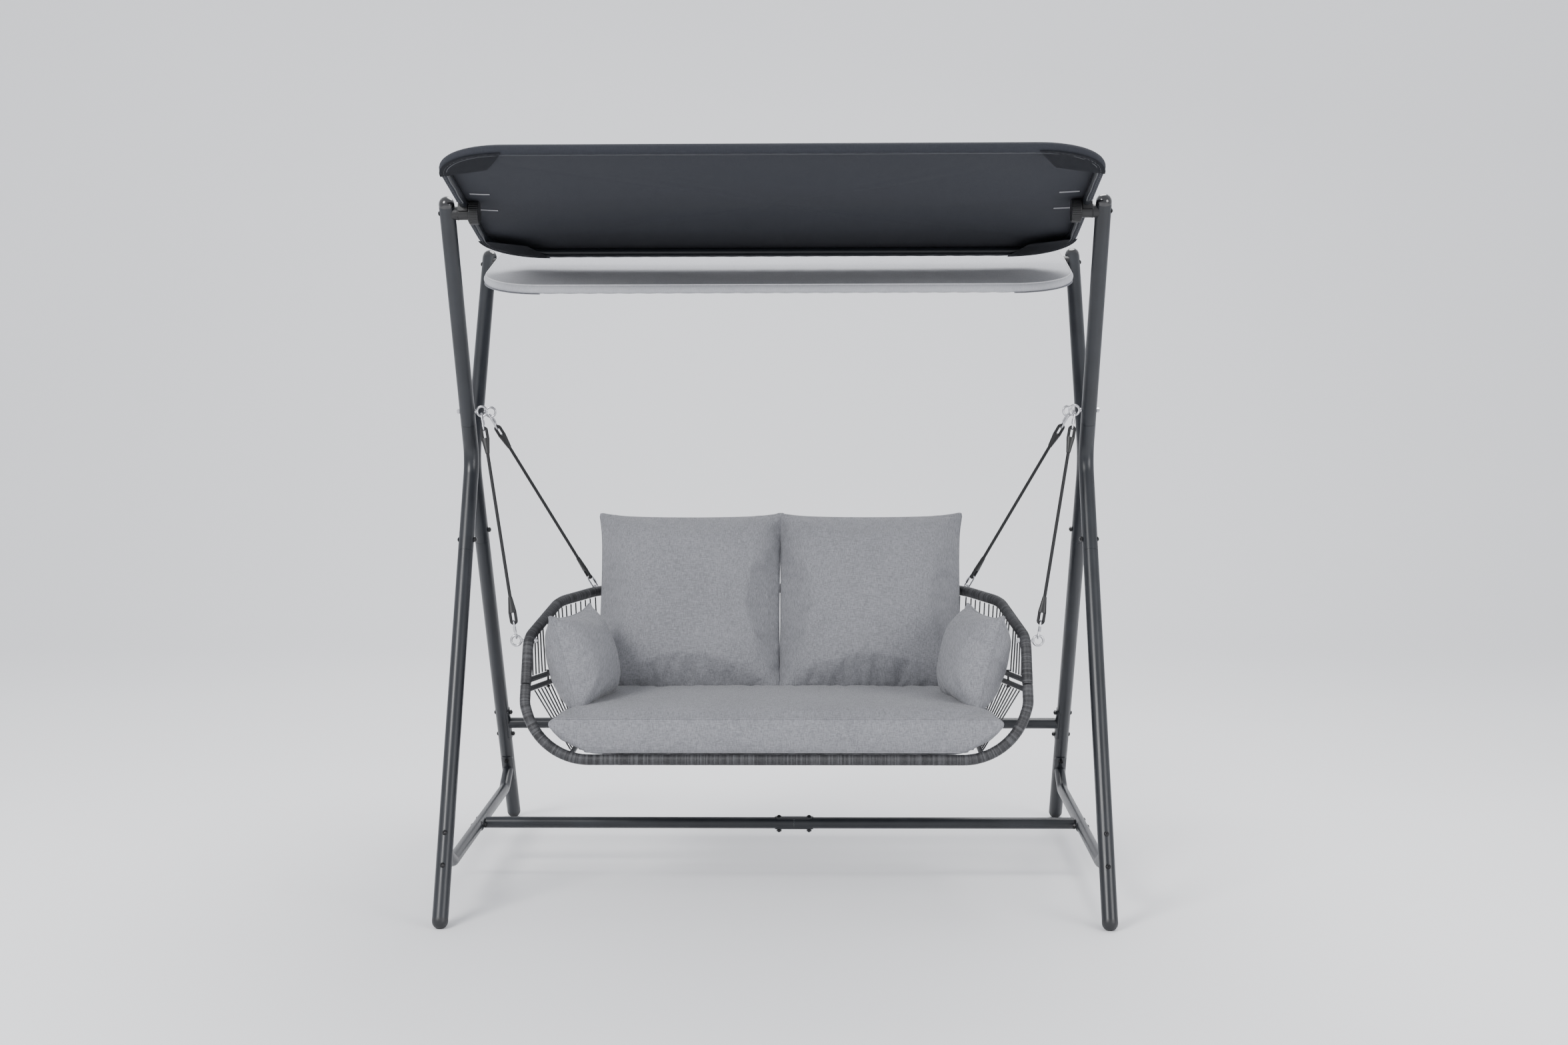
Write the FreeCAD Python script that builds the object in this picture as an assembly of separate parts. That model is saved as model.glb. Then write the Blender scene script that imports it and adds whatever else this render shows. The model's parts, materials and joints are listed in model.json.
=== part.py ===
"""Two-seat hanging basket swing under two tilting canopies.

A stand of two side frames and three crossbars carries the seat on four ropes.
X runs to the right, Y to the back, Z up; the origin is on the floor below the
middle of the swing's overall box. All sizes are in millimetres.
"""
import FreeCAD, Part
import math
import os

V = FreeCAD.Vector

# ---- side frames: each has a front and a rear tube, bent and welded back to back ----
LEG_OD = 45.0
LEG_WALL = 1.5
SIDE_X = 920.0            # centre plane of a side frame
FRONT_FOOT_Y = -690.0
REAR_FOOT_Y = 690.0
NODE_Y = -40.0            # where the two bent tubes touch
NODE_Z = 1260.0
NODE_BEND_R = 110.0
WELD_BITE = 1.0           # how far the bent tubes run into each other at the weld
FRONT_TOP_Y = -398.0      # centre of the front leg's domed cap
FRONT_TOP_Z = 1994.5
REAR_TOP_Y = 342.0
REAR_TOP_Z = 1877.5
NODE_LOWER_ARM = 300.0    # from the bend's corner to the lower seam
NODE_UPPER_ARM = 118.0
SEAM_GAP = 0.6
SPIGOT_LENGTH = 75.0
SPIGOT_GAP = 0.2
SHOULDER = 3.0            # ring that joins a spigot to its tube
LEG_BOLT_AT = 262.0       # from the bend's corner, down the leg
EYE_BOLT_AT = 160.0       # from the bend's corner, up the leg
CAP_BAND = 5.0
CAP_PLUG = 18.0
FOOT_CENTRE_Z = 20.0      # centre of the foot cap's dome; the floor cuts it flat

# ---- braces, crossbars and their saddles ----
BAR_OD = 35.0
BAR_WALL = 1.5
SADDLE_LENGTH = 118.0
SADDLE_WRAP = 58.0        # degrees to each side of the saddle's middle
SADDLE_THICKNESS = 2.5
SADDLE_CORNER_R = 12.0
BOLT_PITCH = 92.0
BRACE_SADDLE_Z = 195.0
BRACE_Z = 138.0
BRACE_BEND_R = 60.0
REAR_BAR_Z = 358.0
SPLICE_X = 45.0
SPLICE_WRAP = 42.0

# ---- fasteners ----
BOLT_R = 4.0
BOLT_HOLE_R = 4.2
HEAD_R = 7.5
HEAD_H = 4.5
SOCKET_R = 2.9
SOCKET_DEPTH = 2.5
NUT_R = 7.5
NUT_H = 6.5
NUT_BORE_R = 4.05
BOLT_TAIL = 2.0
EYE_MEAN_R = 14.5
EYE_WIRE_R = 3.5
EYE_COLLAR_R = 6.5
EYE_COLLAR_T = 2.5
CONTACT_GAP = 0.1         # between pieces that lie against each other
SEAT_GAP = 0.8            # under heads and nuts that sit on a bent tube
EYE_COLLAR_BITE = 1.0     # how far an eye's collar runs into its ring
CUT_PAST = 30.0           # how far a cutting rod or box runs past the piece

# ---- canopies ----
CANOPY_HALF_LENGTH = 483.0
CANOPY_RAIL_INSET = 48.0  # from the side frame's plane to a side rail
CANOPY_RAIL_OD = 25.0
CANOPY_RAIL_WALL = 1.2
CANOPY_CORNER_R = 180.0
CANOPY_TILT = 13.4        # degrees: the outer edge of each canopy stands higher
RAIL_ABOVE_PIVOT = 22.0
PIVOT_DROP = 27.0         # from a cap's centre, down the leg
COVER_T = 1.2
COVER_SKIRT = 28.0
COVER_CUTOUT = 46.0       # half length of the opening in the skirt at each hub
CUTOUT_DROP = 3.0         # from the top sheet down to the top of that opening
HUB_R = 19.0
HUB_LEG_GAP = 8.3         # from the leg to the joint between base and hub
HUB_DEPTH = 30.7
HUB_WING = 26.0           # half length of the hub's saddle along the rail
RATCHET_T = 1.6
RATCHET_TEETH = 36
TOOTH_TIP = 0.6           # above the hub's radius
TOOTH_ROOT = 0.4          # below it
KNOB_R = 32.0
KNOB_T = 28.0
KNOB_GAP = 0.4
KNOB_FLUTES = 30
KNOB_EDGE_R = 3.0
FLUTE_R = 1.6
FLUTE_OUT = 0.4           # a flute's axis stands this far outside the knob
PIN_DEPTH = 0.8           # share of the knob's thickness that the bolt fills
BORE_DEPTH = 0.85         # share of it that the bore fills
PIN_CLEARANCE = 0.06

# ---- hangers ----
FRAME_EYE_INSET = 43.0    # from the side frame's plane to a ring's centre
LINK_WIRE_R = 2.5
LINK_BOW_R = 8.0          # centre line of a quick link's rounded end
LINK_PITCH = 36.0         # between the centres of its two ends
LINK_NUT_R = 4.6
LINK_NUT_LENGTH = 15.0
ROPE_R = 5.0
LOOP_STRAND_R = 4.5
LOOP_R = 7.5
LOOP_LEG = 24.0           # from the loop's centre to the sleeve's mouth
SLEEVE_LENGTH = 47.0
SLEEVE_MOUTH = (12.5, 7.0)
SLEEVE_TIP_R = 6.25
BOW_SHARE = 0.999         # keeps the two arcs of a rounded end from meeting
REAR_LINK_DROP = 3.0      # rear links' wire rests this far above their eye's centre
REAR_LINK_SETBACK = 1.9   # and this far behind it

# ---- seat basket ----
RIM_CORE_OD = 25.0
RIM_WALL = 1.5
WRAP_OD = 32.0
SEAM = V(722, -354, 624)
ARM_FRONT = V(722, -290, 750)
ARM_REAR = V(675, 50, 815)
BACK_CORNER = V(558, 310, 825)
UPPER_RIM_R = (80.0, 300.0, 158.0)
SIDE_BEND = V(722, -381, 571)
FRONT_CORNER = V(668, -428, 420)
LOWER_RIM_R = (80.0, 190.0)
RIM_SEAM_GAP = 1.5
HOOP_OD = 16.0
HOOP_WALL = 1.5
HOOP_START = V(718, -349, 635)
HOOP_SIDE = V(640, 60, 616)
HOOP_CORNER = V(535, 265, 596)
HOOP_R = (400.0, 140.0)
HOOP_STEP = 26.0          # the lower hoop's drop below the upper one
FLOOR_FRONT = V(590, -425, 428)
FLOOR_CORNER = V(590, 150, 420)
FLOOR_R = 120.0
STRING_R = 2.25
STRING_PITCH = 28.0
STRING_GAP = 0.9
HOOP_FREE_SHARE = 0.12    # share of each hoop's end run that carries no strings
FRAME_BOLT_R = 3.0
FRAME_HEAD_R = 5.8
FRAME_HEAD_H = 3.0
FRAME_NUT_H = 5.0
FRAME_BOLT_X = 330.0
FRAME_BOLT_SHARE = 0.45   # place of the side bolts along the hoop's first run
FRAME_HOLE_R = 3.2
FRONT_EYE_TURN = 0.5      # place of each seat eye along its bend, from 0 to 1
REAR_EYE_TURN = 0.37
EYE_STANDOFF = 4.0

# ---- cushions ----
PAD_FRONT_Y = -430.0
PAD_BACK_Y = 80.0
PAD_BOTTOM_Z = 440.0
PAD_TOP_Z = 542.0
PAD_BOTTOM_X = 552.0
PAD_SIDE_X = 664.0
PAD_SIDE_Z = 524.0
PAD_TOP_X = 636.0
PAD_TAPER = 72.0          # narrower at the back on each side
PAD_ROUND = 20.0
PAD_CORNER_CUT = 100.0
BACK_CUSHION = (544.0, 150.0, 580.0)
BACK_CUSHION_X = 279.0
BACK_CUSHION_FOOT = V(0, 65, 545)
BACK_CUSHION_LEAN = 25.0
ARM_CUSHION = (120.0, 300.0, 300.0)
ARM_CUSHION_AT = V(574, -140, 701)
ARM_CUSHION_LEAN = 15.0
ARM_CUSHION_YAW = 15.0
CUSHION_ROUND = 0.42      # edge radius as a share of the thickness

X_AXIS = V(1, 0, 0)
Y_AXIS = V(0, 1, 0)
Z_AXIS = V(0, 0, 1)
LEG_R = LEG_OD / 2
BAR_R = BAR_OD / 2
CANOPY_RAIL_X = SIDE_X - CANOPY_RAIL_INSET
FRAME_EYE_X = SIDE_X - FRAME_EYE_INSET
HUB_OUTER_X = SIDE_X - LEG_R - HUB_LEG_GAP
HUB_INNER_X = HUB_OUTER_X - HUB_DEPTH


# ---------------------------------------------------------------- helpers
def unit(v):
    """The direction of v, with length 1."""
    w = V(v)
    return w.normalize()


def cylinder(start, end, radius):
    """A solid cylinder from one point to another."""
    return Part.makeCylinder(radius, (end - start).Length, start, end - start)


def ring_face(centre, normal, od, wall):
    """The cross-section of a tube, or of a rod when wall is 0."""
    outer = Part.Wire(Part.makeCircle(od / 2, centre, normal))
    if not wall:
        return Part.Face(outer)
    inner = Part.Wire(Part.makeCircle(od / 2 - wall, centre, normal))
    return Part.makeFace([outer, inner], "Part::FaceMakerBullseye")


def bend(before, corner, after, radius):
    """Start, end, centre, axis and angle of the arc that rounds a corner."""
    into = unit(corner - before)
    out = unit(after - corner)
    turn = into.getAngle(out)
    tangent = radius * math.tan(turn / 2)
    start = corner - into * tangent
    end = corner + out * tangent
    axis = unit(into.cross(out))
    centre = start + axis.cross(into) * radius
    return start, end, centre, axis, turn


def bends_of(points, radii, closed=False):
    """The arcs of a path, one for each of its corners."""
    count = len(points)
    corners = range(count) if closed else range(1, count - 1)
    return [bend(points[i - 1], points[i], points[(i + 1) % count], r)
            for i, r in zip(corners, radii)]


def bent_tube(points, radii, od, wall=0.0, closed=False):
    """A tube or rod along straight runs joined by tangent arcs."""
    arcs = bends_of(points, radii, closed)
    ends = [a[1] for a in arcs]
    starts = [a[0] for a in arcs]
    if closed:
        runs = list(zip(ends, starts[1:] + starts[:1]))
    else:
        runs = list(zip([points[0]] + ends, starts + [points[-1]]))
    pieces = []
    for run_start, run_end in runs:
        along = run_end - run_start
        pieces.append(ring_face(run_start, along, od, wall).extrude(along))
    for index, (start, end, centre, axis, turn) in enumerate(arcs):
        face = ring_face(start, axis.cross(start - centre), od, wall)
        pieces.append(face.revolve(centre, axis, math.degrees(turn)))
    return joined(pieces)


def path_wire(points, radii):
    """The centre line of a path as a wire of lines and arcs."""
    edges = []
    here = points[0]
    for start, end, centre, axis, turn in bends_of(points, radii):
        edges.append(Part.LineSegment(here, start).toShape())
        outward = unit((start - centre) + (end - centre))
        middle = centre + outward * (start - centre).Length
        edges.append(Part.Arc(start, middle, end).toShape())
        here = end
    edges.append(Part.LineSegment(here, points[-1]).toShape())
    return Part.Wire(edges)


def on_bend(points, radii, index, share):
    """A point on one arc of a path, and the direction out of its bend."""
    start, end, centre, axis, turn = bends_of(points, radii)[index]
    outward = FreeCAD.Rotation(axis, math.degrees(turn) * share).multVec(unit(start - centre))
    return centre + outward * (start - centre).Length, outward


def joined(shapes):
    """Several touching solids made one."""
    shape = shapes[0]
    if len(shapes) > 1:
        shape = shape.multiFuse(shapes[1:])
    return shape.removeSplitter()


def group(shapes):
    """Several solids kept apart in one node."""
    solids = []
    for shape in shapes:
        solids.extend(shape.Solids)
    return Part.makeCompound(solids)


def mirrored(shape):
    """The same piece on the other side of the swing."""
    return shape.mirror(V(0, 0, 0), X_AXIS)


def both_sides(shapes):
    """Right-hand pieces and their left-hand mirror images as one group."""
    return group(list(shapes) + [mirrored(s) for s in shapes])


def across(points):
    """A right-hand path carried on to its mirror image, ending on the left."""
    left = [V(-p.x, p.y, p.z) for p in reversed(points)]
    return list(points) + left


def placed(shape, local_z, local_x, origin):
    """Move a piece built at the origin so that its Z and X face the given ways."""
    z = unit(local_z)
    y = unit(z.cross(local_x))
    x = y.cross(z)
    matrix = FreeCAD.Matrix(x.x, y.x, z.x, origin.x,
                            x.y, y.y, z.y, origin.y,
                            x.z, y.z, z.z, origin.z,
                            0, 0, 0, 1)
    copy = shape.copy()
    copy.Placement = FreeCAD.Placement(matrix).multiply(copy.Placement)
    return copy


def hexagon(radius, height):
    """A hexagonal prism standing on the XY plane."""
    corners = [V(radius * math.cos(math.radians(60 * k)), radius * math.sin(math.radians(60 * k)), 0)
               for k in range(7)]
    return Part.Face(Part.makePolygon(corners)).extrude(V(0, 0, height))


def rounded_slab(half_x, half_y, radius, low, high):
    """A slab with rounded corners, standing on Z."""
    slab = Part.makeBox(2 * half_x, 2 * half_y, high - low, V(-half_x, -half_y, low))
    upright = [e for e in slab.Edges if abs(e.tangentAt(e.FirstParameter).z) > 0.99]
    return slab.makeFillet(radius, upright)


# ---------------------------------------------------------------- fasteners
def button_head():
    """A domed head with a hexagonal socket, its flat side on the XY plane."""
    ball_r = (HEAD_R ** 2 + HEAD_H ** 2) / (2 * HEAD_H)
    dome = Part.makeSphere(ball_r, V(0, 0, HEAD_H - ball_r))
    head = dome.common(Part.makeCylinder(HEAD_R + 1, HEAD_H + 1))
    socket = hexagon(SOCKET_R, SOCKET_DEPTH + 1)
    socket.translate(V(0, 0, HEAD_H - SOCKET_DEPTH))
    return head.cut(socket)


def bolt_and_nut(head_face, nut_face):
    """A bolt whose head sits on one face and whose nut sits on the other."""
    grip = (nut_face - head_face).Length
    shank = Part.makeCylinder(BOLT_R, grip + NUT_H + BOLT_TAIL, V(0, 0, 0), V(0, 0, -1))
    bolt = joined([button_head(), shank])
    nut = hexagon(NUT_R, NUT_H).cut(Part.makeCylinder(NUT_BORE_R, NUT_H))
    nut.translate(V(0, 0, -grip - NUT_H))
    outward = head_face - nut_face
    side = X_AXIS if abs(unit(outward).x) < 0.9 else Z_AXIS
    return [placed(part, outward, side, head_face) for part in (bolt, nut)]


def bolt_hole(start, end):
    """The hole of a bolt between two points, a little longer than the wall."""
    along = unit(end - start) * CUT_PAST
    return cylinder(start - along, end + along, BOLT_HOLE_R)


def eye_bolt(centre, ring_axis, shank_dir, shank_length, nut_at):
    """An eye bolt and its nut: the ring's centre, its axis, and its shank."""
    ring = Part.makeTorus(EYE_MEAN_R, EYE_WIRE_R, centre, ring_axis)
    root = centre + shank_dir * EYE_MEAN_R
    shank = cylinder(root, root + shank_dir * shank_length, BOLT_R)
    collar_start = centre + shank_dir * (EYE_MEAN_R + EYE_WIRE_R - EYE_COLLAR_BITE)
    collar = cylinder(collar_start, collar_start + shank_dir * EYE_COLLAR_T, EYE_COLLAR_R)
    nut = hexagon(NUT_R, NUT_H).cut(Part.makeCylinder(NUT_BORE_R, NUT_H))
    side = Z_AXIS if abs(shank_dir.z) < 0.9 else X_AXIS
    return [joined([ring, shank, collar]), placed(nut, shank_dir, side, nut_at)]


# ---------------------------------------------------------------- side frames
class Leg:
    """The centre line of one bent tube of a side frame, from foot to cap."""

    def __init__(self, foot_y, top_y, top_z, corner_y):
        self.foot = V(SIDE_X, foot_y, 0)
        self.corner = V(SIDE_X, corner_y, NODE_Z)
        self.top = V(SIDE_X, top_y, top_z)
        self.down = unit(self.foot - self.corner)
        self.up = unit(self.top - self.corner)

    def below(self, distance):
        """A point on the lower leg, measured from the bend's corner."""
        return self.corner + self.down * distance

    def above(self, distance):
        """A point on the upper leg, measured from the bend's corner."""
        return self.corner + self.up * distance

    def at_height(self, z):
        """A point on the lower leg's axis at a height."""
        return self.corner + self.down * ((z - self.corner.z) / self.down.z)

    @property
    def pivot(self):
        """Where the canopy's pivot crosses the upper leg."""
        return self.top - self.up * PIVOT_DROP

    def rod(self, radius):
        """The lower leg's full volume at a radius, for cuts."""
        return cylinder(self.below(0), self.foot + self.down * CUT_PAST, radius)

    def upper_rod(self, radius):
        """The upper leg's full volume at a radius, for cuts."""
        return cylinder(self.above(0), self.top + self.up * CUT_PAST, radius)


def bend_shift(foot_y, top_y, top_z):
    """How far a bent tube's middle stands back from its corner."""
    into = unit(V(0, NODE_Y - foot_y, NODE_Z))
    out = unit(V(0, top_y - NODE_Y, top_z - NODE_Z))
    return NODE_BEND_R * (1 / math.cos(into.getAngle(out) / 2) - 1)


CORNER_OFFSET = (LEG_OD - WELD_BITE - bend_shift(FRONT_FOOT_Y, FRONT_TOP_Y, FRONT_TOP_Z)
                 - bend_shift(REAR_FOOT_Y, REAR_TOP_Y, REAR_TOP_Z)) / 2
FRONT = Leg(FRONT_FOOT_Y, FRONT_TOP_Y, FRONT_TOP_Z, NODE_Y - CORNER_OFFSET)
REAR = Leg(REAR_FOOT_Y, REAR_TOP_Y, REAR_TOP_Z, NODE_Y + CORNER_OFFSET)


def spigot(seam, direction):
    """The reduced end of a tube that slides into the next one."""
    od = LEG_OD - 2 * LEG_WALL - 2 * SPIGOT_GAP
    shoulder_start = seam - direction * SHOULDER
    shoulder = ring_face(shoulder_start, direction, LEG_OD, LEG_OD / 2 - od / 2 + LEG_WALL)
    neck = ring_face(seam, direction, od, LEG_WALL)
    return [shoulder.extrude(direction * SHOULDER), neck.extrude(direction * SPIGOT_LENGTH)]


def cross_hole(point):
    """A bolt hole through a leg along X."""
    reach = V(LEG_R, 0, 0)
    return bolt_hole(point - reach, point + reach)


def side_node():
    """The welded X: both bent tubes, with spigots for the upper legs."""
    pieces = []
    holes = []
    for leg in (FRONT, REAR):
        path = [leg.below(NODE_LOWER_ARM), leg.corner, leg.above(NODE_UPPER_ARM)]
        pieces.append(bent_tube(path, [NODE_BEND_R], LEG_OD, LEG_WALL))
        pieces.extend(spigot(leg.above(NODE_UPPER_ARM), leg.up))
        holes.append(cross_hole(leg.above(EYE_BOLT_AT)))
        holes.append(cross_hole(leg.below(LEG_BOLT_AT)))
    return joined(pieces).cut(Part.makeCompound(holes))


def upper_leg(leg):
    """A straight upper leg with holes for its eye bolt and canopy pivot."""
    start = leg.above(NODE_UPPER_ARM + SEAM_GAP)
    end = leg.top - leg.up * CAP_BAND
    tube = ring_face(start, end - start, LEG_OD, LEG_WALL).extrude(end - start)
    return tube.cut(cross_hole(leg.above(EYE_BOLT_AT))).cut(cross_hole(leg.pivot))


def foot_seam(leg):
    """Where a lower leg ends and its foot cap starts."""
    return leg.at_height(FOOT_CENTRE_Z) - leg.down * CAP_BAND


def lower_leg(leg, holes):
    """A straight lower leg with its spigot and bolt holes."""
    start = foot_seam(leg)
    end = leg.below(NODE_LOWER_ARM + SEAM_GAP)
    tube = ring_face(start, end - start, LEG_OD, LEG_WALL).extrude(end - start)
    shape = joined([tube] + spigot(end, -leg.down))
    return shape.cut(Part.makeCompound([cross_hole(leg.below(LEG_BOLT_AT))] + holes))


def cap(centre, inward):
    """A domed cap with its band and the plug inside the tube."""
    seam = centre + inward * CAP_BAND
    plug_r = LEG_R - LEG_WALL - SPIGOT_GAP
    dome = Part.makeSphere(LEG_R, centre).cut(cylinder(centre, centre + inward * LEG_OD, LEG_OD))
    return joined([dome,
                   cylinder(centre, seam, LEG_R),
                   cylinder(seam, seam + inward * CAP_PLUG, plug_r)])


def top_cap(leg):
    """The cap on an upper leg, cut clear of the canopy's pivot bolt."""
    return cap(leg.top, -leg.up).cut(cross_hole(leg.pivot))


def foot_cap(leg):
    """The cap under a lower leg, flat where it rests on the floor."""
    whole = cap(leg.at_height(FOOT_CENTRE_Z), -leg.down)
    size = 4 * LEG_OD
    below_floor = Part.makeBox(size, size, size, V(SIDE_X - size / 2, leg.foot.y - size / 2, -size))
    return whole.cut(below_floor)


# ---------------------------------------------------------------- braces and crossbars
def saddle(point, axis, facing, tube_r, length=SADDLE_LENGTH, wrap=SADDLE_WRAP):
    """A curved plate that lies on a tube's side and faces the given way."""
    inner = tube_r + CONTACT_GAP
    width = 2 * inner * math.sin(math.radians(wrap))
    shell = Part.makeCylinder(inner + SADDLE_THICKNESS, length, V(-length / 2, 0, 0), X_AXIS)
    shell = shell.cut(Part.makeCylinder(inner, length, V(-length / 2, 0, 0), X_AXIS))
    corner = min(SADDLE_CORNER_R, width / 2 - 1)
    outline = rounded_slab(length / 2, width / 2, corner, 0, inner + 2 * SADDLE_THICKNESS)
    return placed(shell.common(outline), facing, axis, point)


def pair_along(point, direction):
    """The two bolt places of a saddle."""
    step = direction * (BOLT_PITCH / 2)
    return [point + step, point - step]


def through_bolts(centres, facing, tube_r):
    """Bolts through a tube: heads on its far side, nuts on the saddle's side."""
    parts = []
    for centre in centres:
        head = centre - facing * (tube_r + CONTACT_GAP)
        nut = centre + facing * (tube_r + 2 * CONTACT_GAP + SADDLE_THICKNESS)
        parts.extend(bolt_and_nut(head, nut))
    return parts


def through_holes(centres, facing, tube_r):
    """The holes for through_bolts."""
    return [bolt_hole(c - facing * tube_r, c + facing * tube_r) for c in centres]


FRONT_BRACE_AT = FRONT.at_height(BRACE_SADDLE_Z)
REAR_BRACE_AT = REAR.at_height(BRACE_SADDLE_Z)
FRONT_BRACE_FACING = unit(X_AXIS.cross(FRONT.down))
REAR_BRACE_FACING = unit(REAR.down.cross(X_AXIS))
FRONT_BRACE_BOLTS = pair_along(FRONT_BRACE_AT, FRONT.down)
REAR_BRACE_BOLTS = pair_along(REAR_BRACE_AT, REAR.down)
REAR_BAR_AT = REAR.at_height(REAR_BAR_Z)
REAR_BAR_BOLTS = pair_along(REAR_BAR_AT, REAR.down)
FRONT_BAR_AT = V(SIDE_X, 0, BRACE_Z)
FRONT_BAR_BOLTS = pair_along(FRONT_BAR_AT, Y_AXIS)


def side_brace():
    """The low brace between the legs of a side frame, with its two saddles."""
    front_drop = (BRACE_SADDLE_Z - BRACE_Z) / -FRONT_BRACE_FACING.z
    rear_drop = (BRACE_SADDLE_Z - BRACE_Z) / -REAR_BRACE_FACING.z
    path = [FRONT_BRACE_AT, FRONT_BRACE_AT + FRONT_BRACE_FACING * front_drop,
            REAR_BRACE_AT + REAR_BRACE_FACING * rear_drop, REAR_BRACE_AT]
    tube = bent_tube(path, [BRACE_BEND_R, BRACE_BEND_R], BAR_OD, BAR_WALL)
    inside_plate = LEG_R + CONTACT_GAP + SADDLE_THICKNESS / 2
    tube = tube.cut(FRONT.rod(inside_plate)).cut(REAR.rod(inside_plate))
    saddles = [saddle(FRONT_BRACE_AT, FRONT.down, FRONT_BRACE_FACING, LEG_R),
               saddle(REAR_BRACE_AT, REAR.down, REAR_BRACE_FACING, LEG_R)]
    holes = through_holes(FRONT_BRACE_BOLTS, FRONT_BRACE_FACING, LEG_R)
    holes += through_holes(REAR_BRACE_BOLTS, REAR_BRACE_FACING, LEG_R)
    holes += through_holes(FRONT_BAR_BOLTS, -X_AXIS, BAR_R)
    return joined([tube] + saddles).cut(Part.makeCompound(holes))


def bar_end(at, axis, tube_r):
    """The saddle on the right-hand end of a crossbar."""
    return saddle(at, axis, -X_AXIS, tube_r)


def bar_tube(start_x, end_x, y, z):
    """A straight length of crossbar."""
    start = V(start_x, y, z)
    along = V(end_x - start_x, 0, 0)
    return ring_face(start, along, BAR_OD, BAR_WALL).extrude(along)


def rear_crossbar():
    """The bar between the rear legs, with a saddle at each end."""
    at = REAR_BAR_AT
    tube = bar_tube(-SIDE_X, SIDE_X, at.y, at.z)
    rod = REAR.rod(LEG_R + CONTACT_GAP + SADDLE_THICKNESS / 2)
    tube = tube.cut(rod).cut(mirrored(rod))
    middle = max(tube.Solids, key=lambda s: s.Volume)
    end = bar_end(at, REAR.down, LEG_R)
    holes = through_holes(REAR_BAR_BOLTS, X_AXIS, LEG_R)
    holes += [mirrored(h) for h in holes]
    return joined([middle, end, mirrored(end)]).cut(Part.makeCompound(holes))


def splice_bolt_places():
    """The two bolts that hold the splice plates on the front crossbar."""
    return [V(SPLICE_X + s * BOLT_PITCH / 2, 0, BRACE_Z) for s in (-1, 1)]


def front_crossbar(side):
    """One half of the bar between the side braces: side is 1 right, -1 left."""
    outer = side * (SIDE_X - BAR_R - CONTACT_GAP - SADDLE_THICKNESS / 2)
    inner = SPLICE_X + side * SEAM_GAP / 2
    tube = bar_tube(min(inner, outer), max(inner, outer), 0, BRACE_Z)
    end = bar_end(FRONT_BAR_AT, Y_AXIS, BAR_R)
    holes = through_holes(FRONT_BAR_BOLTS, X_AXIS, BAR_R)
    if side < 0:
        end = mirrored(end)
        holes = [mirrored(h) for h in holes]
    holes += through_holes(splice_bolt_places(), Z_AXIS, BAR_R)
    return joined([tube, end]).cut(Part.makeCompound(holes))


def splice_plates():
    """The two curved plates over and under the front crossbar's joint."""
    centre = V(SPLICE_X, 0, BRACE_Z)
    plates = [saddle(centre, X_AXIS, way, BAR_R, SADDLE_LENGTH, SPLICE_WRAP)
              for way in (Z_AXIS, -Z_AXIS)]
    holes = through_holes(splice_bolt_places(), Z_AXIS, BAR_R)
    return group([p.cut(Part.makeCompound(holes)) for p in plates])


def splice_bolts():
    """Bolts down through the upper plate, the bar and the lower plate."""
    stack = BAR_R + 2 * CONTACT_GAP + SADDLE_THICKNESS
    parts = []
    for centre in splice_bolt_places():
        parts.extend(bolt_and_nut(centre + V(0, 0, stack), centre - V(0, 0, stack)))
    return parts


def leg_bolts():
    """The bolts through the lower seams, heads outside."""
    parts = []
    reach = V(LEG_R + CONTACT_GAP, 0, 0)
    for leg in (FRONT, REAR):
        centre = leg.below(LEG_BOLT_AT)
        parts.extend(bolt_and_nut(centre + reach, centre - reach))
    return parts


# ---------------------------------------------------------------- frame eyes and canopy pivots
def frame_eye_centre(leg):
    """The centre of the ring that a hanger hooks into."""
    point = leg.above(EYE_BOLT_AT)
    return V(FRAME_EYE_X, point.y, point.z)


def frame_eyes():
    """The eye bolts through the upper seams, nuts outside."""
    parts = []
    for leg in (FRONT, REAR):
        centre = frame_eye_centre(leg)
        nut_at = V(SIDE_X + LEG_R + CONTACT_GAP, centre.y, centre.z)
        length = nut_at.x + NUT_H + BOLT_TAIL - FRAME_EYE_X - EYE_MEAN_R
        parts.extend(eye_bolt(centre, Y_AXIS, X_AXIS, length, nut_at))
    return parts


def ratchet(x_low, at):
    """A serrated ring around the pivot, standing on the plane X = x_low."""
    corners = []
    for k in range(2 * RATCHET_TEETH + 1):
        radius = HUB_R + TOOTH_TIP if k % 2 else HUB_R - TOOTH_ROOT
        angle = math.pi * k / RATCHET_TEETH
        corners.append(V(x_low, at.y + radius * math.cos(angle), at.z + radius * math.sin(angle)))
    return Part.Face(Part.makePolygon(corners)).extrude(V(RATCHET_T, 0, 0))


def pivot_axis_rod(leg, x_low, x_high, radius):
    """A cylinder on a canopy's pivot axis between two places along X."""
    at = leg.pivot
    return cylinder(V(x_low, at.y, at.z), V(x_high, at.y, at.z), radius)


def pivot_base(leg):
    """The fixed half of a knuckle: it hugs the leg and has a serrated rim."""
    face_x = HUB_OUTER_X + KNOB_GAP
    body = pivot_axis_rod(leg, face_x, SIDE_X - LEG_R / 2, HUB_R)
    body = joined([body, ratchet(face_x, leg.pivot)])
    body = body.cut(leg.upper_rod(LEG_R + CONTACT_GAP))
    base = min(body.Solids, key=lambda s: s.BoundBox.XMin)
    return base.cut(pivot_axis_rod(leg, face_x - CUT_PAST, SIDE_X, BOLT_HOLE_R))


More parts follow.
